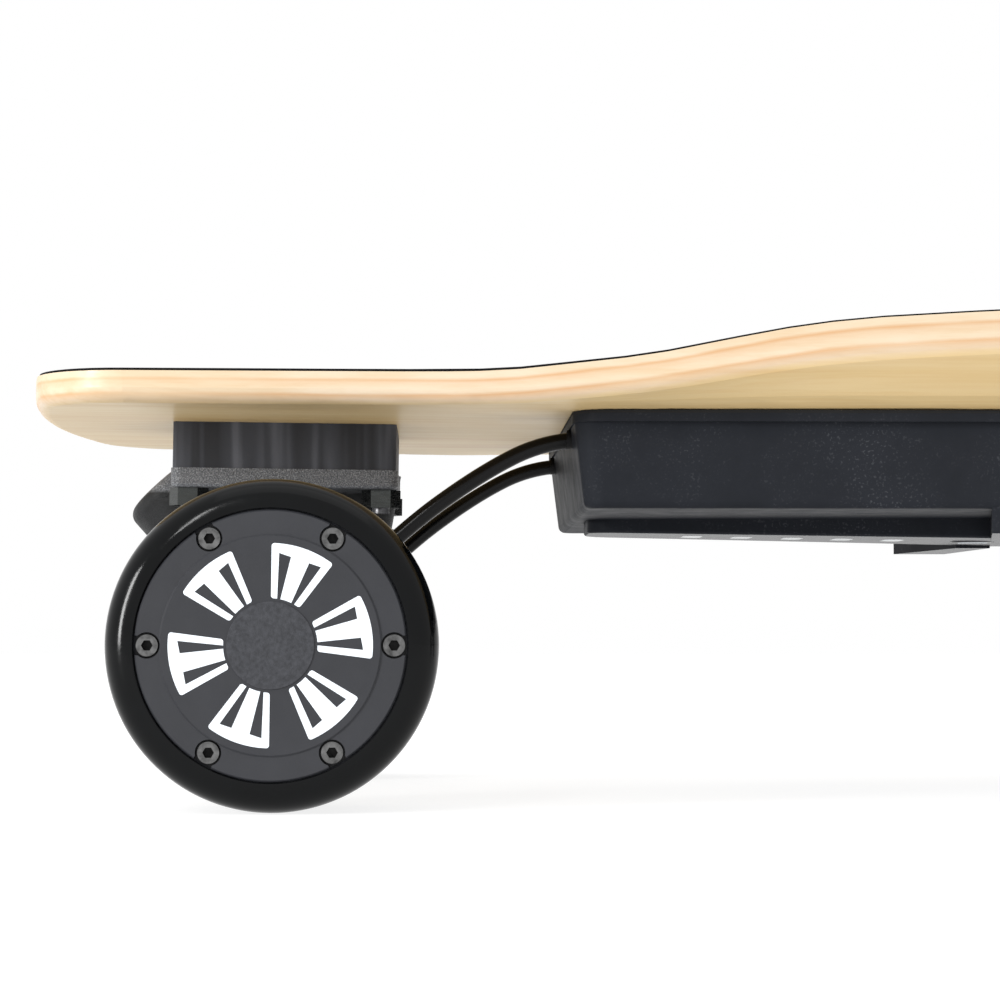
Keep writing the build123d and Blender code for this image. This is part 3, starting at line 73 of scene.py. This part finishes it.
class Shader:
    """A Principled material with small helpers for procedural detail."""

    def __init__(self, name, colour, roughness, metallic=0.0, coat=0.0, coat_roughness=0.05, ior=1.3):
        self.material = bpy.data.materials.new(name)
        self.material.use_nodes = True
        self.tree = self.material.node_tree
        self.bsdf = self.tree.nodes["Principled BSDF"]
        self.set("Base Color", (*colour, 1.0))
        self.set("Roughness", roughness)
        self.set("Metallic", metallic)
        self.set("Coat Weight", coat)
        self.set("Coat Roughness", coat_roughness)
        self.set("IOR", ior)
        self.colour = colour
        self.roughness = roughness
        self._coords = None
        self._normal = None

    def set(self, socket, value):
        self.bsdf.inputs[socket].default_value = value

    def node(self, kind, **settings):
        made = self.tree.nodes.new(kind)
        for key, value in settings.items():
            setattr(made, key, value)
        return made

    def link(self, source, target):
        self.tree.links.new(source, target)

    def coords(self, scale=(1, 1, 1)):
        """Object coordinates in metres times a scale along each axis."""
        if self._coords is None:
            self._coords = self.node("ShaderNodeTexCoord").outputs["Object"]
        mapping = self.node("ShaderNodeMapping")
        mapping.inputs["Scale"].default_value = scale
        self.link(self._coords, mapping.inputs["Vector"])
        return mapping.outputs["Vector"]

    def noise(self, scale, detail=4.0, roughness=0.6, stretch=(1, 1, 1), distortion=0.0):
        texture = self.node("ShaderNodeTexNoise")
        texture.inputs["Scale"].default_value = scale
        texture.inputs["Detail"].default_value = detail
        texture.inputs["Roughness"].default_value = roughness
        texture.inputs["Distortion"].default_value = distortion
        self.link(self.coords(stretch), texture.inputs["Vector"])
        return texture.outputs["Fac"]

    def ramp(self, source, stops):
        """Grey levels or colours along a value, from (position, level or colour) stops."""
        ramp = self.node("ShaderNodeValToRGB")
        elements = ramp.color_ramp.elements
        while len(elements) < len(stops):
            elements.new(0.5)
        for element, (position, value) in zip(elements, stops):
            element.position = position
            element.color = (*value, 1.0) if isinstance(value, tuple) else (value, value, value, 1.0)
        self.link(source, ramp.inputs["Fac"])
        return ramp.outputs["Color"]

    def mix(self, factor, a, b, blend="MIX"):
        """Colour a where the factor is 0 and colour b, or a blended with b, where it is 1."""
        mix = self.node("ShaderNodeMix", data_type="RGBA", blend_type=blend)
        colours = [socket for socket in mix.inputs if socket.type == "RGBA"]
        self.connect(factor, mix.inputs[0])
        self.connect(a, colours[0])
        self.connect(b, colours[1])
        return [socket for socket in mix.outputs if socket.type == "RGBA"][0]

    def connect(self, value, socket):
        """Sets a socket to a number or a colour, or links another node's output to it."""
        if isinstance(value, (int, float)):
            socket.default_value = value
        elif isinstance(value, tuple):
            socket.default_value = (*value, 1.0)
        else:
            self.link(value, socket)

    def along(self, axis, vector=None):
        """One axis of a vector output, or of the object coordinates in metres."""
        separate = self.node("ShaderNodeSeparateXYZ")
        self.link(vector or self.coords(), separate.inputs["Vector"])
        return separate.outputs[axis]

    def math(self, operation, a, b=0.0, clamp=False):
        made = self.node("ShaderNodeMath", operation=operation, use_clamp=clamp)
        self.connect(a, made.inputs[0])
        self.connect(b, made.inputs[1])
        return made.outputs[0]

    def vary(self, source, amount):
        """Lightens and darkens the base colour by a share either side."""
        dark = tuple(c * (1 - amount) for c in self.colour)
        light = tuple(min(1.0, c * (1 + amount)) for c in self.colour)
        self.link(self.ramp(source, [(0.3, dark), (0.7, light)]), self.bsdf.inputs["Base Color"])
        return self

    def roughen(self, source, amount):
        low, high = max(0.02, self.roughness - amount), min(1.0, self.roughness + amount)
        self.link(self.ramp(source, [(0.3, low), (0.7, high)]), self.bsdf.inputs["Roughness"])
        return self

    def bump(self, source, distance, strength=1.0):
        bump = self.node("ShaderNodeBump")
        bump.inputs["Strength"].default_value = strength
        bump.inputs["Distance"].default_value = distance
        self.link(source, bump.inputs["Height"])
        if self._normal is not None:
            self.link(self._normal, bump.inputs["Normal"])
        self._normal = bump.outputs["Normal"]
        self.link(self._normal, self.bsdf.inputs["Normal"])
        return self


def srgb(red, green, blue):
    """Linear colour from 0-255 display values."""

    def linear(value):
        value /= 255
        return value / 12.92 if value <= 0.04045 else ((value + 0.055) / 1.055) ** 2.4

    return (linear(red), linear(green), linear(blue))


def plain(name, colour, roughness, coat=0.0, depth=0.00003, vary=0.12, ior=1.3):
    """Everyday finish: mottled colour and roughness with a fine bump."""
    shader = Shader(name, colour, roughness, coat=coat, ior=ior)
    shader.vary(shader.noise(60.0, 3.0), vary)
    shader.roughen(shader.noise(90.0, 5.0), 0.08)
    shader.bump(shader.noise(400.0, 5.0), depth)
    return shader.material


# ---------------------------------------------------------------- wood
PLY_LINES = (  # depth below the deck's top and half width in mm, strength
    (2.2, 0.7, 0.75),
    (3.0, 1.5, 0.3),
    (6.0, 0.75, 0.7),
    (6.7, 1.4, 0.35),
)
LINE_WANDER = 1.3  # mm, how far the grain bends the ply lines
UNDERSIDE_DEPTH = 7.4  # mm, where the deck's edge turns into its underside
# painted shade: the first multiplier darkens the deck's edges in place of weaker light on them; the second
# tints the underside warmer
EDGE_PAINTED_SHADE = (0.82, 0.81, 0.83)
UNDERSIDE_TINT = (0.90, 0.82, 0.60)
GRAIN_PALE, GRAIN_MID, GRAIN_WARM = srgb(228, 212, 186), srgb(221, 200, 166), srgb(206, 172, 128)


def maple(name):
    """Clear-coated maple with streaky grain, darker glue lines along the deck's edge, and painted shade
    darkening the edge.
    """
    shader = Shader(name, srgb(240, 218, 178), 0.42, coat=0.12, coat_roughness=0.22, ior=1.35)
    streaks = shader.noise(9.0, 6.0, 0.62, stretch=(0.6, 9.0, 9.0), distortion=0.6)
    fibres = shader.noise(70.0, 4.0, 0.7, stretch=(0.35, 9.0, 9.0))
    wide = shader.noise(5.0, 3.0, 0.5, stretch=(0.5, 2.5, 2.5))
    colour = shader.ramp(streaks, [(0.3, GRAIN_PALE), (0.55, GRAIN_MID), (0.8, GRAIN_WARM)])
    colour = shader.mix(shader.ramp(fibres, [(0.45, 0.0), (0.8, 0.35)]), colour, GRAIN_WARM)
    colour = shader.mix(shader.ramp(wide, [(0.4, 0.0), (0.75, 0.3)]), colour, srgb(214, 188, 150))
    depth = shader.node("ShaderNodeAttribute", attribute_name="ply_depth").outputs["Fac"]
    bottom = shader.math("MULTIPLY", shader.math("SUBTRACT", depth, UNDERSIDE_DEPTH), 1.2, clamp=True)
    # painted shade on the edges, warmer tint on the underside, chosen by depth below the top
    colour = shader.mix(1.0, colour, shader.mix(bottom, EDGE_PAINTED_SHADE, UNDERSIDE_TINT), "MULTIPLY")
    wander = shader.math("MULTIPLY", shader.math("SUBTRACT", streaks, 0.5), LINE_WANDER)
    depth = shader.math("ADD", depth, wander)
    broken = shader.ramp(shader.noise(14.0, 3.0, 0.6, stretch=(0.8, 2.0, 2.0)), [(0.38, 0.25), (0.6, 1.0)])
    for line, width, strength in PLY_LINES:
        away = shader.math("ABSOLUTE", shader.math("SUBTRACT", depth, line))
        near = shader.math("SUBTRACT", 1.0, shader.math("DIVIDE", away, width), clamp=True)
        near = shader.math("MULTIPLY", shader.math("MULTIPLY", near, strength), broken)
        colour = shader.mix(near, colour, srgb(188, 140, 92))
    shader.link(colour, shader.bsdf.inputs["Base Color"])
    shader.roughen(fibres, 0.1)
    shader.bump(fibres, 0.00002)
    waves = shader.noise(14.0, 2.0, 0.5, stretch=(0.7, 1.4, 1.0))
    coat_bump = shader.node("ShaderNodeBump")
    coat_bump.inputs["Distance"].default_value = 0.0006
    coat_bump.inputs["Strength"].default_value = 0.25
    shader.link(waves, coat_bump.inputs["Height"])
    shader.link(coat_bump.outputs["Normal"], shader.bsdf.inputs["Coat Normal"])
    return shader.material


# ---------------------------------------------------------------- black finishes
PLATE_UNDERSIDE = 0.0850  # height of the baseplates' lower faces


def sand_cast(name):
    """Grainy powder coat on one casting, greyer on the flat plates and darker and smoother on the bosses
    below: painted light and shade by height.
    """
    shader = Shader(name, srgb(56, 57, 60), 0.5, ior=1.35)
    # painted light and shade by height: above the plates' lower faces the casting gets the lit grey, below
    # them the shaded near black
    lit_plate_share = shader.math("SUBTRACT", shader.along("Z"), PLATE_UNDERSIDE)
    lit_plate_share = shader.math("MULTIPLY", lit_plate_share, MILLIMETRES, clamp=True)
    grains = shader.noise(2600.0, 4.0, 0.7)
    plate_stops = [(0.35, srgb(58, 59, 62)), (0.5, srgb(92, 94, 98)), (0.66, srgb(150, 152, 156))]
    plate = shader.ramp(grains, plate_stops)
    boss = shader.ramp(grains, [(0.3, srgb(14, 15, 16)), (0.7, srgb(28, 29, 31))])
    shader.link(shader.mix(lit_plate_share, boss, plate), shader.bsdf.inputs["Base Color"])
    shader.roughen(shader.noise(200.0, 4.0), 0.12)
    shader.bump(grains, 0.0002)
    return shader.material


def moulded_rubber(name):
    """Rubber with paler streaks from top to bottom."""
    shader = Shader(name, srgb(40, 40, 42), 0.5, ior=1.25)
    stains = shader.noise(58.0, 2.0, 0.5, stretch=(2.6, 2.6, 0.12), distortion=0.4)
    shader.link(
        shader.ramp(stains, [(0.40, srgb(48, 49, 53)), (0.54, srgb(64, 66, 72)), (0.66, srgb(90, 92, 99))]),
        shader.bsdf.inputs["Base Color"],
    )
    shader.roughen(stains, 0.15)
    shader.bump(shader.noise(700.0, 4.0), 0.00004)
    return shader.material


PAN_TOP = 0.0760  # above the enclosure's lowest faces, below its side band


def shell_plastic(name):
    """Textured moulding: speckled patches of leather grain on blue-black, smoother underneath."""
    shader = Shader(name, srgb(36, 38, 42), 0.46, ior=1.09)
    patches = shader.noise(30.0, 5.0, 0.65)
    grain = shader.noise(1300.0, 3.0, 0.6)
    flecks = shader.ramp(shader.noise(1500.0, 2.0, 0.5), [(0.58, 0.0), (0.68, 1.0)])
    flecks = shader.math("MULTIPLY", flecks, shader.ramp(patches, [(0.46, 0.0), (0.66, 0.22)]))
    mottled = shader.ramp(patches, [(0.3, srgb(32, 34, 38)), (0.7, srgb(39, 41, 46))])
    shader.link(shader.mix(flecks, mottled, srgb(104, 106, 110)), shader.bsdf.inputs["Base Color"])
    facing = shader.along("Z", shader.node("ShaderNodeTexCoord").outputs["Normal"])
    under = shader.math("SUBTRACT", shader.math("MULTIPLY", facing, -10.0), 8.5, clamp=True)
    lowest = shader.math("SUBTRACT", PAN_TOP, shader.along("Z"))
    lowest = shader.math("MULTIPLY", lowest, MILLIMETRES, clamp=True)
    under = shader.math("MULTIPLY", under, lowest)
    uneven = shader.ramp(shader.noise(120.0, 5.0), [(0.3, 0.40), (0.7, 0.52)])
    shader.link(shader.mix(under, uneven, (0.26, 0.26, 0.26)), shader.bsdf.inputs["Roughness"])
    shader.bump(shader.math("MULTIPLY", grain, shader.ramp(patches, [(0.45, 0.15), (0.65, 1.0)])), 0.00008)
    return shader.material


SCREW_FACE_START = 0.1162  # distance from the middle plane beyond which a cap screw shows its face; nearer the middle it is painted dark as socket shade
SCREW_METAL = 0.7


def steel_with_painted_socket_shade(name):
    """Dull steel screw heads whose sockets, deeper than their faces, are painted dark as shade."""
    shader = Shader(name, srgb(92, 92, 92), 0.45, metallic=SCREW_METAL)
    outward = shader.math("ABSOLUTE", shader.along("Y"))
    face = shader.math("MULTIPLY", shader.math("SUBTRACT", outward, SCREW_FACE_START), 20000.0, clamp=True)
    worn = shader.ramp(shader.noise(500.0, 4.0), [(0.3, srgb(66, 66, 66)), (0.7, srgb(112, 112, 112))])
    # painted shade: all of a screw nearer the middle than its face is near black and not metallic
    shader.link(shader.mix(face, srgb(8, 8, 9), worn), shader.bsdf.inputs["Base Color"])
    shader.link(shader.math("MULTIPLY", face, SCREW_METAL), shader.bsdf.inputs["Metallic"])
    shader.roughen(shader.noise(700.0, 4.0), 0.12)
    shader.bump(shader.noise(1800.0, 3.0), 0.00003)
    return shader.material


def gloss_urethane(name):
    """Polished black tyre with a little wear."""
    shader = Shader(name, srgb(2, 3, 4), 0.13, ior=1.27)
    wear = shader.noise(70.0, 6.0, 0.7)
    shader.vary(wear, 0.3)
    shader.roughen(wear, 0.08)
    shader.bump(shader.noise(180.0, 6.0, 0.7), 0.00010, 0.3)
    return shader.material


def anodised(name, colour):
    """Satin metal under a dyed skin, with a fine orange-peel grain."""
    shader = Shader(name, colour, 0.42, ior=1.4)
    shader.vary(shader.noise(45.0, 4.0), 0.12)
    shader.roughen(shader.noise(160.0, 5.0), 0.08)
    shader.bump(shader.noise(1500.0, 5.0, 0.8), 0.00008, 0.6)
    return shader.material


def grit(name):
    """Grip tape: black grit with lighter grains."""
    shader = Shader(name, srgb(24, 24, 25), 0.85, ior=1.2)
    grains = shader.noise(2400.0, 4.0, 0.8)
    shader.link(
        shader.ramp(grains, [(0.45, srgb(12, 12, 13)), (0.62, srgb(32, 32, 34)), (0.8, srgb(96, 96, 98))]),
        shader.bsdf.inputs["Base Color"],
    )
    shader.bump(grains, 0.0005)
    return shader.material


def machined(name, colour, roughness, metallic=1.0):
    """Turned or plated metal with faint tool marks."""
    shader = Shader(name, colour, roughness, metallic=metallic)
    shader.vary(shader.noise(80.0, 5.0), 0.1)
    shader.roughen(shader.noise(300.0, 4.0, stretch=(1, 1, 6)), 0.1)
    shader.bump(shader.noise(900.0, 4.0, stretch=(1, 1, 4)), 0.00003)
    return shader.material


LOOKS = {
    "maple_ply": maple("maple_lacquer"),
    "grip_grit": grit("grip_grit"),
    "riser_rubber": moulded_rubber("riser_rubber"),
    "cast_black": sand_cast("cast_black"),
    "zinc_steel": machined("zinc_steel", srgb(72, 74, 73), 0.28),
    "black_steel": machined("black_steel", srgb(98, 98, 100), 0.35, 0.8),
    "bushing_urethane": plain("bushing_urethane", srgb(30, 30, 32), 0.4),
    "cup_nylon": plain("cup_nylon", srgb(22, 22, 24), 0.5),
    "tyre_urethane": gloss_urethane("tyre_urethane"),
    "can_aluminium": machined("can_aluminium", srgb(44, 45, 48), 0.35),
    "cap_black": anodised("cap_black", srgb(42, 43, 47)),
    "graphic_white": plain("graphic_white", srgb(226, 232, 238), 0.45, vary=0.02),
    "magnet_nickel": machined("magnet_nickel", srgb(200, 198, 190), 0.2),
    "bearing_steel": machined("bearing_steel", srgb(190, 190, 192), 0.2),
    "stator_steel": machined("stator_steel", srgb(130, 134, 140), 0.4),
    "copper": machined("copper", srgb(205, 120, 70), 0.35),
    "core_nylon": plain("core_nylon", srgb(20, 20, 22), 0.4),
    "shell_plastic": shell_plastic("shell_plastic"),
    "gasket_foam": plain("gasket_foam", srgb(30, 30, 31), 0.9, depth=0.0002),
    "cell_wrap": plain("cell_wrap", srgb(58, 120, 190), 0.3, coat=0.4),
    "holder_plastic": plain("holder_plastic", srgb(40, 40, 42), 0.5),
    "board_green": plain("board_green", srgb(24, 100, 58), 0.35, coat=0.3),
    "part_black": plain("part_black", srgb(30, 30, 32), 0.5),
    "heat_aluminium": machined("heat_aluminium", srgb(200, 200, 202), 0.35),
    "button_grey": plain("button_grey", srgb(44, 45, 48), 0.3),
    "window_clear": plain("window_clear", srgb(176, 180, 182), 0.25, vary=0.03),
    "socket_black": plain("socket_black", srgb(14, 14, 16), 0.4),
    "cap_rubber": plain("cap_rubber", srgb(14, 14, 16), 0.5),
    "lead_sleeve": plain("lead_sleeve", srgb(5, 5, 6), 0.2, ior=1.28, depth=0.000001),
}

SLOTS = {part["node"]: part["material_slot"] for part in frame["record"]["subparts"]}
for name, node in nodes.items():
    node.data.materials.clear()
    node.data.materials.append(LOOKS[SLOTS[name]])
STEEL_WITH_PAINTED_SOCKET_SHADE = steel_with_painted_socket_shade("steel_with_painted_socket_shade")
for name in ("rear_left_cap_screws", "rear_right_cap_screws"):
    nodes[name].data.materials[0] = STEEL_WITH_PAINTED_SOCKET_SHADE

# ---------------------------------------------------------------- deck with its plies
TOP_FACING = 0.75  # upward share of the normal, above which a face belongs to the deck's top

deck = bpy.data.objects.new("deck_wood", nodes["deck"].data.copy())
deck.matrix_world = nodes["deck"].matrix_world.copy()
bpy.context.collection.objects.link(deck)
upper = bmesh.new()
upper.from_mesh(deck.data)
low_faces = [face for face in upper.faces if face.normal.z < TOP_FACING]
bmesh.ops.delete(upper, geom=low_faces, context="FACES")
surface = BVHTree.FromBMesh(upper)
depths = deck.data.attributes.new("ply_depth", "FLOAT", "POINT")
for vertex, item in zip(deck.data.vertices, depths.data):
    *_, distance = surface.find_nearest(vertex.co)
    item.value = distance * MILLIMETRES
upper.free()
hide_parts("deck")
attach(deck, "board")

# ---------------------------------------------------------------- motor leads and bushings
LEAD_DIAMETER = 0.0044
LEAD_ROUTE = [  # inward from the axle, sideways, height
    (0.0065, 0.0570, 0.0480),
    (0.0290, 0.0560, 0.0705),
    (0.0525, 0.0546, 0.0879),
    (0.0710, 0.0540, 0.0972),
    (0.0820, 0.0540, 0.0972),
]
JOINTS = {joint["name"]: joint for joint in frame["record"]["behaviour"]["joints"]}


def motor_lead(name, side):
    """Sheathed lead between the hanger and the enclosure, drawn along a fixed route."""
    low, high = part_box("motor_shafts")
    axle_x = (low[0] + high[0]) / 2
    curve = bpy.data.curves.new(name + "_route", "CURVE")
    curve.dimensions = "3D"
    curve.resolution_u = 16
    curve.bevel_depth = LEAD_DIAMETER / 2
    curve.bevel_resolution = 8
    curve.use_fill_caps = True
    spline = curve.splines.new("NURBS")
    spline.points.add(len(LEAD_ROUTE) - 1)
    for point, (inward, across, height) in zip(spline.points, LEAD_ROUTE):
        point.co = (axle_x + inward, side * across, height, 1.0)
    spline.order_u = 3
    spline.use_endpoint_u = True
    drawn = bpy.data.objects.new(name + "_route", curve)
    bpy.context.collection.objects.link(drawn)
    bpy.context.view_layer.update()
    shape = bpy.data.meshes.new_from_object(drawn.evaluated_get(bpy.context.evaluated_depsgraph_get()))
    bpy.data.objects.remove(drawn)
    lead = place_piece(name, shape, LOOKS["lead_sleeve"])
    for face in lead.data.polygons:
        face.use_smooth = True
    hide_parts(name)
    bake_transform(lead)


motor_lead("left_motor_lead", 1)
motor_lead("right_motor_lead", -1)


LONGEST_BUSHING_EDGE = 0.004  # longer edges are cut into shorter ones, giving the bushing a finer mesh


def bushing_halves(end):
    """Upper and lower bushing of a truck, each squeezed between its washer and the ring."""
    node = nodes[f"{end}_bushings"]
    joint = JOINTS[f"{end}_steer"]
    middle = Vector(joint["pos_m"])
    for half, upward in (("upper", 1), ("lower", -1)):
        shape = bmesh.new()
        shape.from_mesh(node.data)
        gone = [vertex for vertex in shape.verts if (vertex.co.z - middle.z) * upward < 0]
        bmesh.ops.delete(shape, geom=gone, context="VERTS")
        long_edges = [edge for edge in shape.edges if edge.calc_length() > LONGEST_BUSHING_EDGE]
        bmesh.ops.subdivide_edges(shape, edges=long_edges, cuts=3)
        mesh = bpy.data.meshes.new(f"{end}_{half}_bushing")
        shape.to_mesh(mesh)
        shape.free()
        bushing = place_piece(f"{end}_{half}_bushing", mesh, LOOKS["bushing_urethane"])
        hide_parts(f"{end}_bushings")
        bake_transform(bushing)


bushing_halves("rear")
bushing_halves("front")

# ---------------------------------------------------------------- small pieces
STICKER_RADIUS, STICKER_THICKNESS, STICKER_BEVEL = 0.01085, 0.0003, 0.0001
MARK_RADIUS, MARK_INNER_RADIUS, MARK_THICKNESS, MARK_BEVEL = 0.0042, 0.0038, 0.00012, 0.00003
DISC_STEPS = 96


def disc(name, material, radius, thickness, bevel, inner=0.0):
    """Round plate or ring along +Z with a chamfered rim, built as one lathe profile."""
    rim = [(radius, 0.0), (radius, thickness - bevel), (radius - bevel, thickness)]
    profile = [(inner, 0.0), *rim, (inner, thickness)]
    shape = bmesh.new()
    rings = []
    for step in range(DISC_STEPS):
        angle = 2 * math.pi * step / DISC_STEPS
        turn = (math.cos(angle), math.sin(angle))
        rings.append([shape.verts.new((r * turn[0], r * turn[1], z)) for r, z in profile])
    for step in range(DISC_STEPS):
        here, beyond = rings[step], rings[(step + 1) % DISC_STEPS]
        for index in range(len(profile)):
            after = (index + 1) % len(profile)
            shape.faces.new((here[index], beyond[index], beyond[after], here[after]))
    bmesh.ops.remove_doubles(shape, verts=shape.verts, dist=1e-7)
    bmesh.ops.recalc_face_normals(shape, faces=shape.faces)
    mesh = bpy.data.meshes.new(name)
    shape.to_mesh(mesh)
    shape.free()
    return place_piece(name, mesh, material)


def sticker_look():
    """Matt black film with a coarse pebble grain."""
    shader = Shader("hub_sticker", srgb(52, 53, 57), 0.6, ior=1.35)
    shader.vary(shader.noise(900.0, 3.0), 0.3)
    shader.roughen(shader.noise(300.0, 4.0), 0.1)
    shader.bump(shader.noise(1400.0, 3.0, 0.7), 0.0002, 0.8)
    return shader.material


STICKER = sticker_look()
for side_name, side in (("left", 1), ("right", -1)):
    low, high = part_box(f"rear_{side_name}_motor_cap")
    face = high[1] if side > 0 else low[1]
    middle = ((low[0] + high[0]) / 2, face, (low[2] + high[2]) / 2)
    sticker = disc(f"{side_name}_hub_sticker", STICKER, STICKER_RADIUS, STICKER_THICKNESS, STICKER_BEVEL)
    sticker.matrix_world = Matrix.Translation(middle) @ Matrix.Rotation(math.radians(-90 * side), 4, "X")
    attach(sticker, f"rear_{side_name}_wheel")

low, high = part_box("power_button")
mark = disc("button_mark", LOOKS["graphic_white"], MARK_RADIUS, MARK_THICKNESS, MARK_BEVEL, MARK_INNER_RADIUS)
button_middle = ((low[0] + high[0]) / 2, 0, low[2])
mark.matrix_world = Matrix.Translation(button_middle) @ Matrix.Rotation(math.pi, 4, "X")
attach(mark, "button")

# ---------------------------------------------------------------- camera, floor and light
WHITE = (1.0, 1.0, 1.0, 1.0)
FLOOR_SIDE = 60.0
FLOOR_GAP = 0.0002  # below the tyres, so that the floor and they don't share a plane
FLOOR_GLOW = 0.84  # emission that brings the floor up to the photograph's white
bpy.ops.mesh.primitive_plane_add(size=FLOOR_SIDE, location=(0, 0, -FLOOR_GAP))
floor = bpy.context.object
floor.name = "studio_floor"
floor_look = Shader("floor_paint", (0.26, 0.26, 0.26), 0.8, ior=1.05)
floor_look.set("Emission Color", WHITE)
floor_look.set("Emission Strength", FLOOR_GLOW)
floor_look.bump(floor_look.noise(30.0, 3.0), 0.0001, 0.1)
floor.data.materials.append(floor_look.material)

world = bpy.data.worlds.new("studio")
bpy.context.scene.world = world
world.use_nodes = True
world.node_tree.nodes["Background"].inputs["Color"].default_value = WHITE
world.node_tree.nodes["Background"].inputs["Strength"].default_value = 1.0


def softbox(name, place, aim, width, height, power):
    """Rectangular area light that faces a point."""
    light = bpy.data.lights.new(name, "AREA")
    light.shape = "RECTANGLE"
    light.size, light.size_y = width, height
    light.energy = power
    lamp = bpy.data.objects.new(name, light)
    lamp.location = place
    lamp.rotation_euler = (Vector(aim) - Vector(place)).to_track_quat("-Z", "Y").to_euler()
    bpy.context.collection.objects.link(lamp)


softbox("key_left", (-1.9, -1.25, 0.45), (-0.3, -0.1, 0.06), 0.36, 0.8, 34)
softbox("front_left", (-1.05, -1.7, 1.1), (-0.35, -0.1, 0.06), 0.16, 0.5, 7)
softbox("top", (0.0, -0.5, 2.2), (0, 0, 0.1), 2.5, 1.4, 5)

CAMERA_PLACE = (-0.25844, -0.80042, 0.04019)  # low, between the rear wheel and the enclosure's end
CAMERA_TILT = 93.116  # degrees from straight down
CAMERA_TURN = -1.3516  # degrees to the right of straight across the board
camera_data = bpy.data.cameras.new("camera")
camera_data.lens = 99.70
camera_data.sensor_width = 36.0
camera_data.clip_start = 0.05
camera = bpy.data.objects.new("camera", camera_data)
camera.location = CAMERA_PLACE
camera.rotation_euler = (math.radians(CAMERA_TILT), 0, math.radians(CAMERA_TURN))
bpy.context.collection.objects.link(camera)
bpy.context.scene.camera = camera
bpy.context.scene.view_settings.view_transform = "Standard"
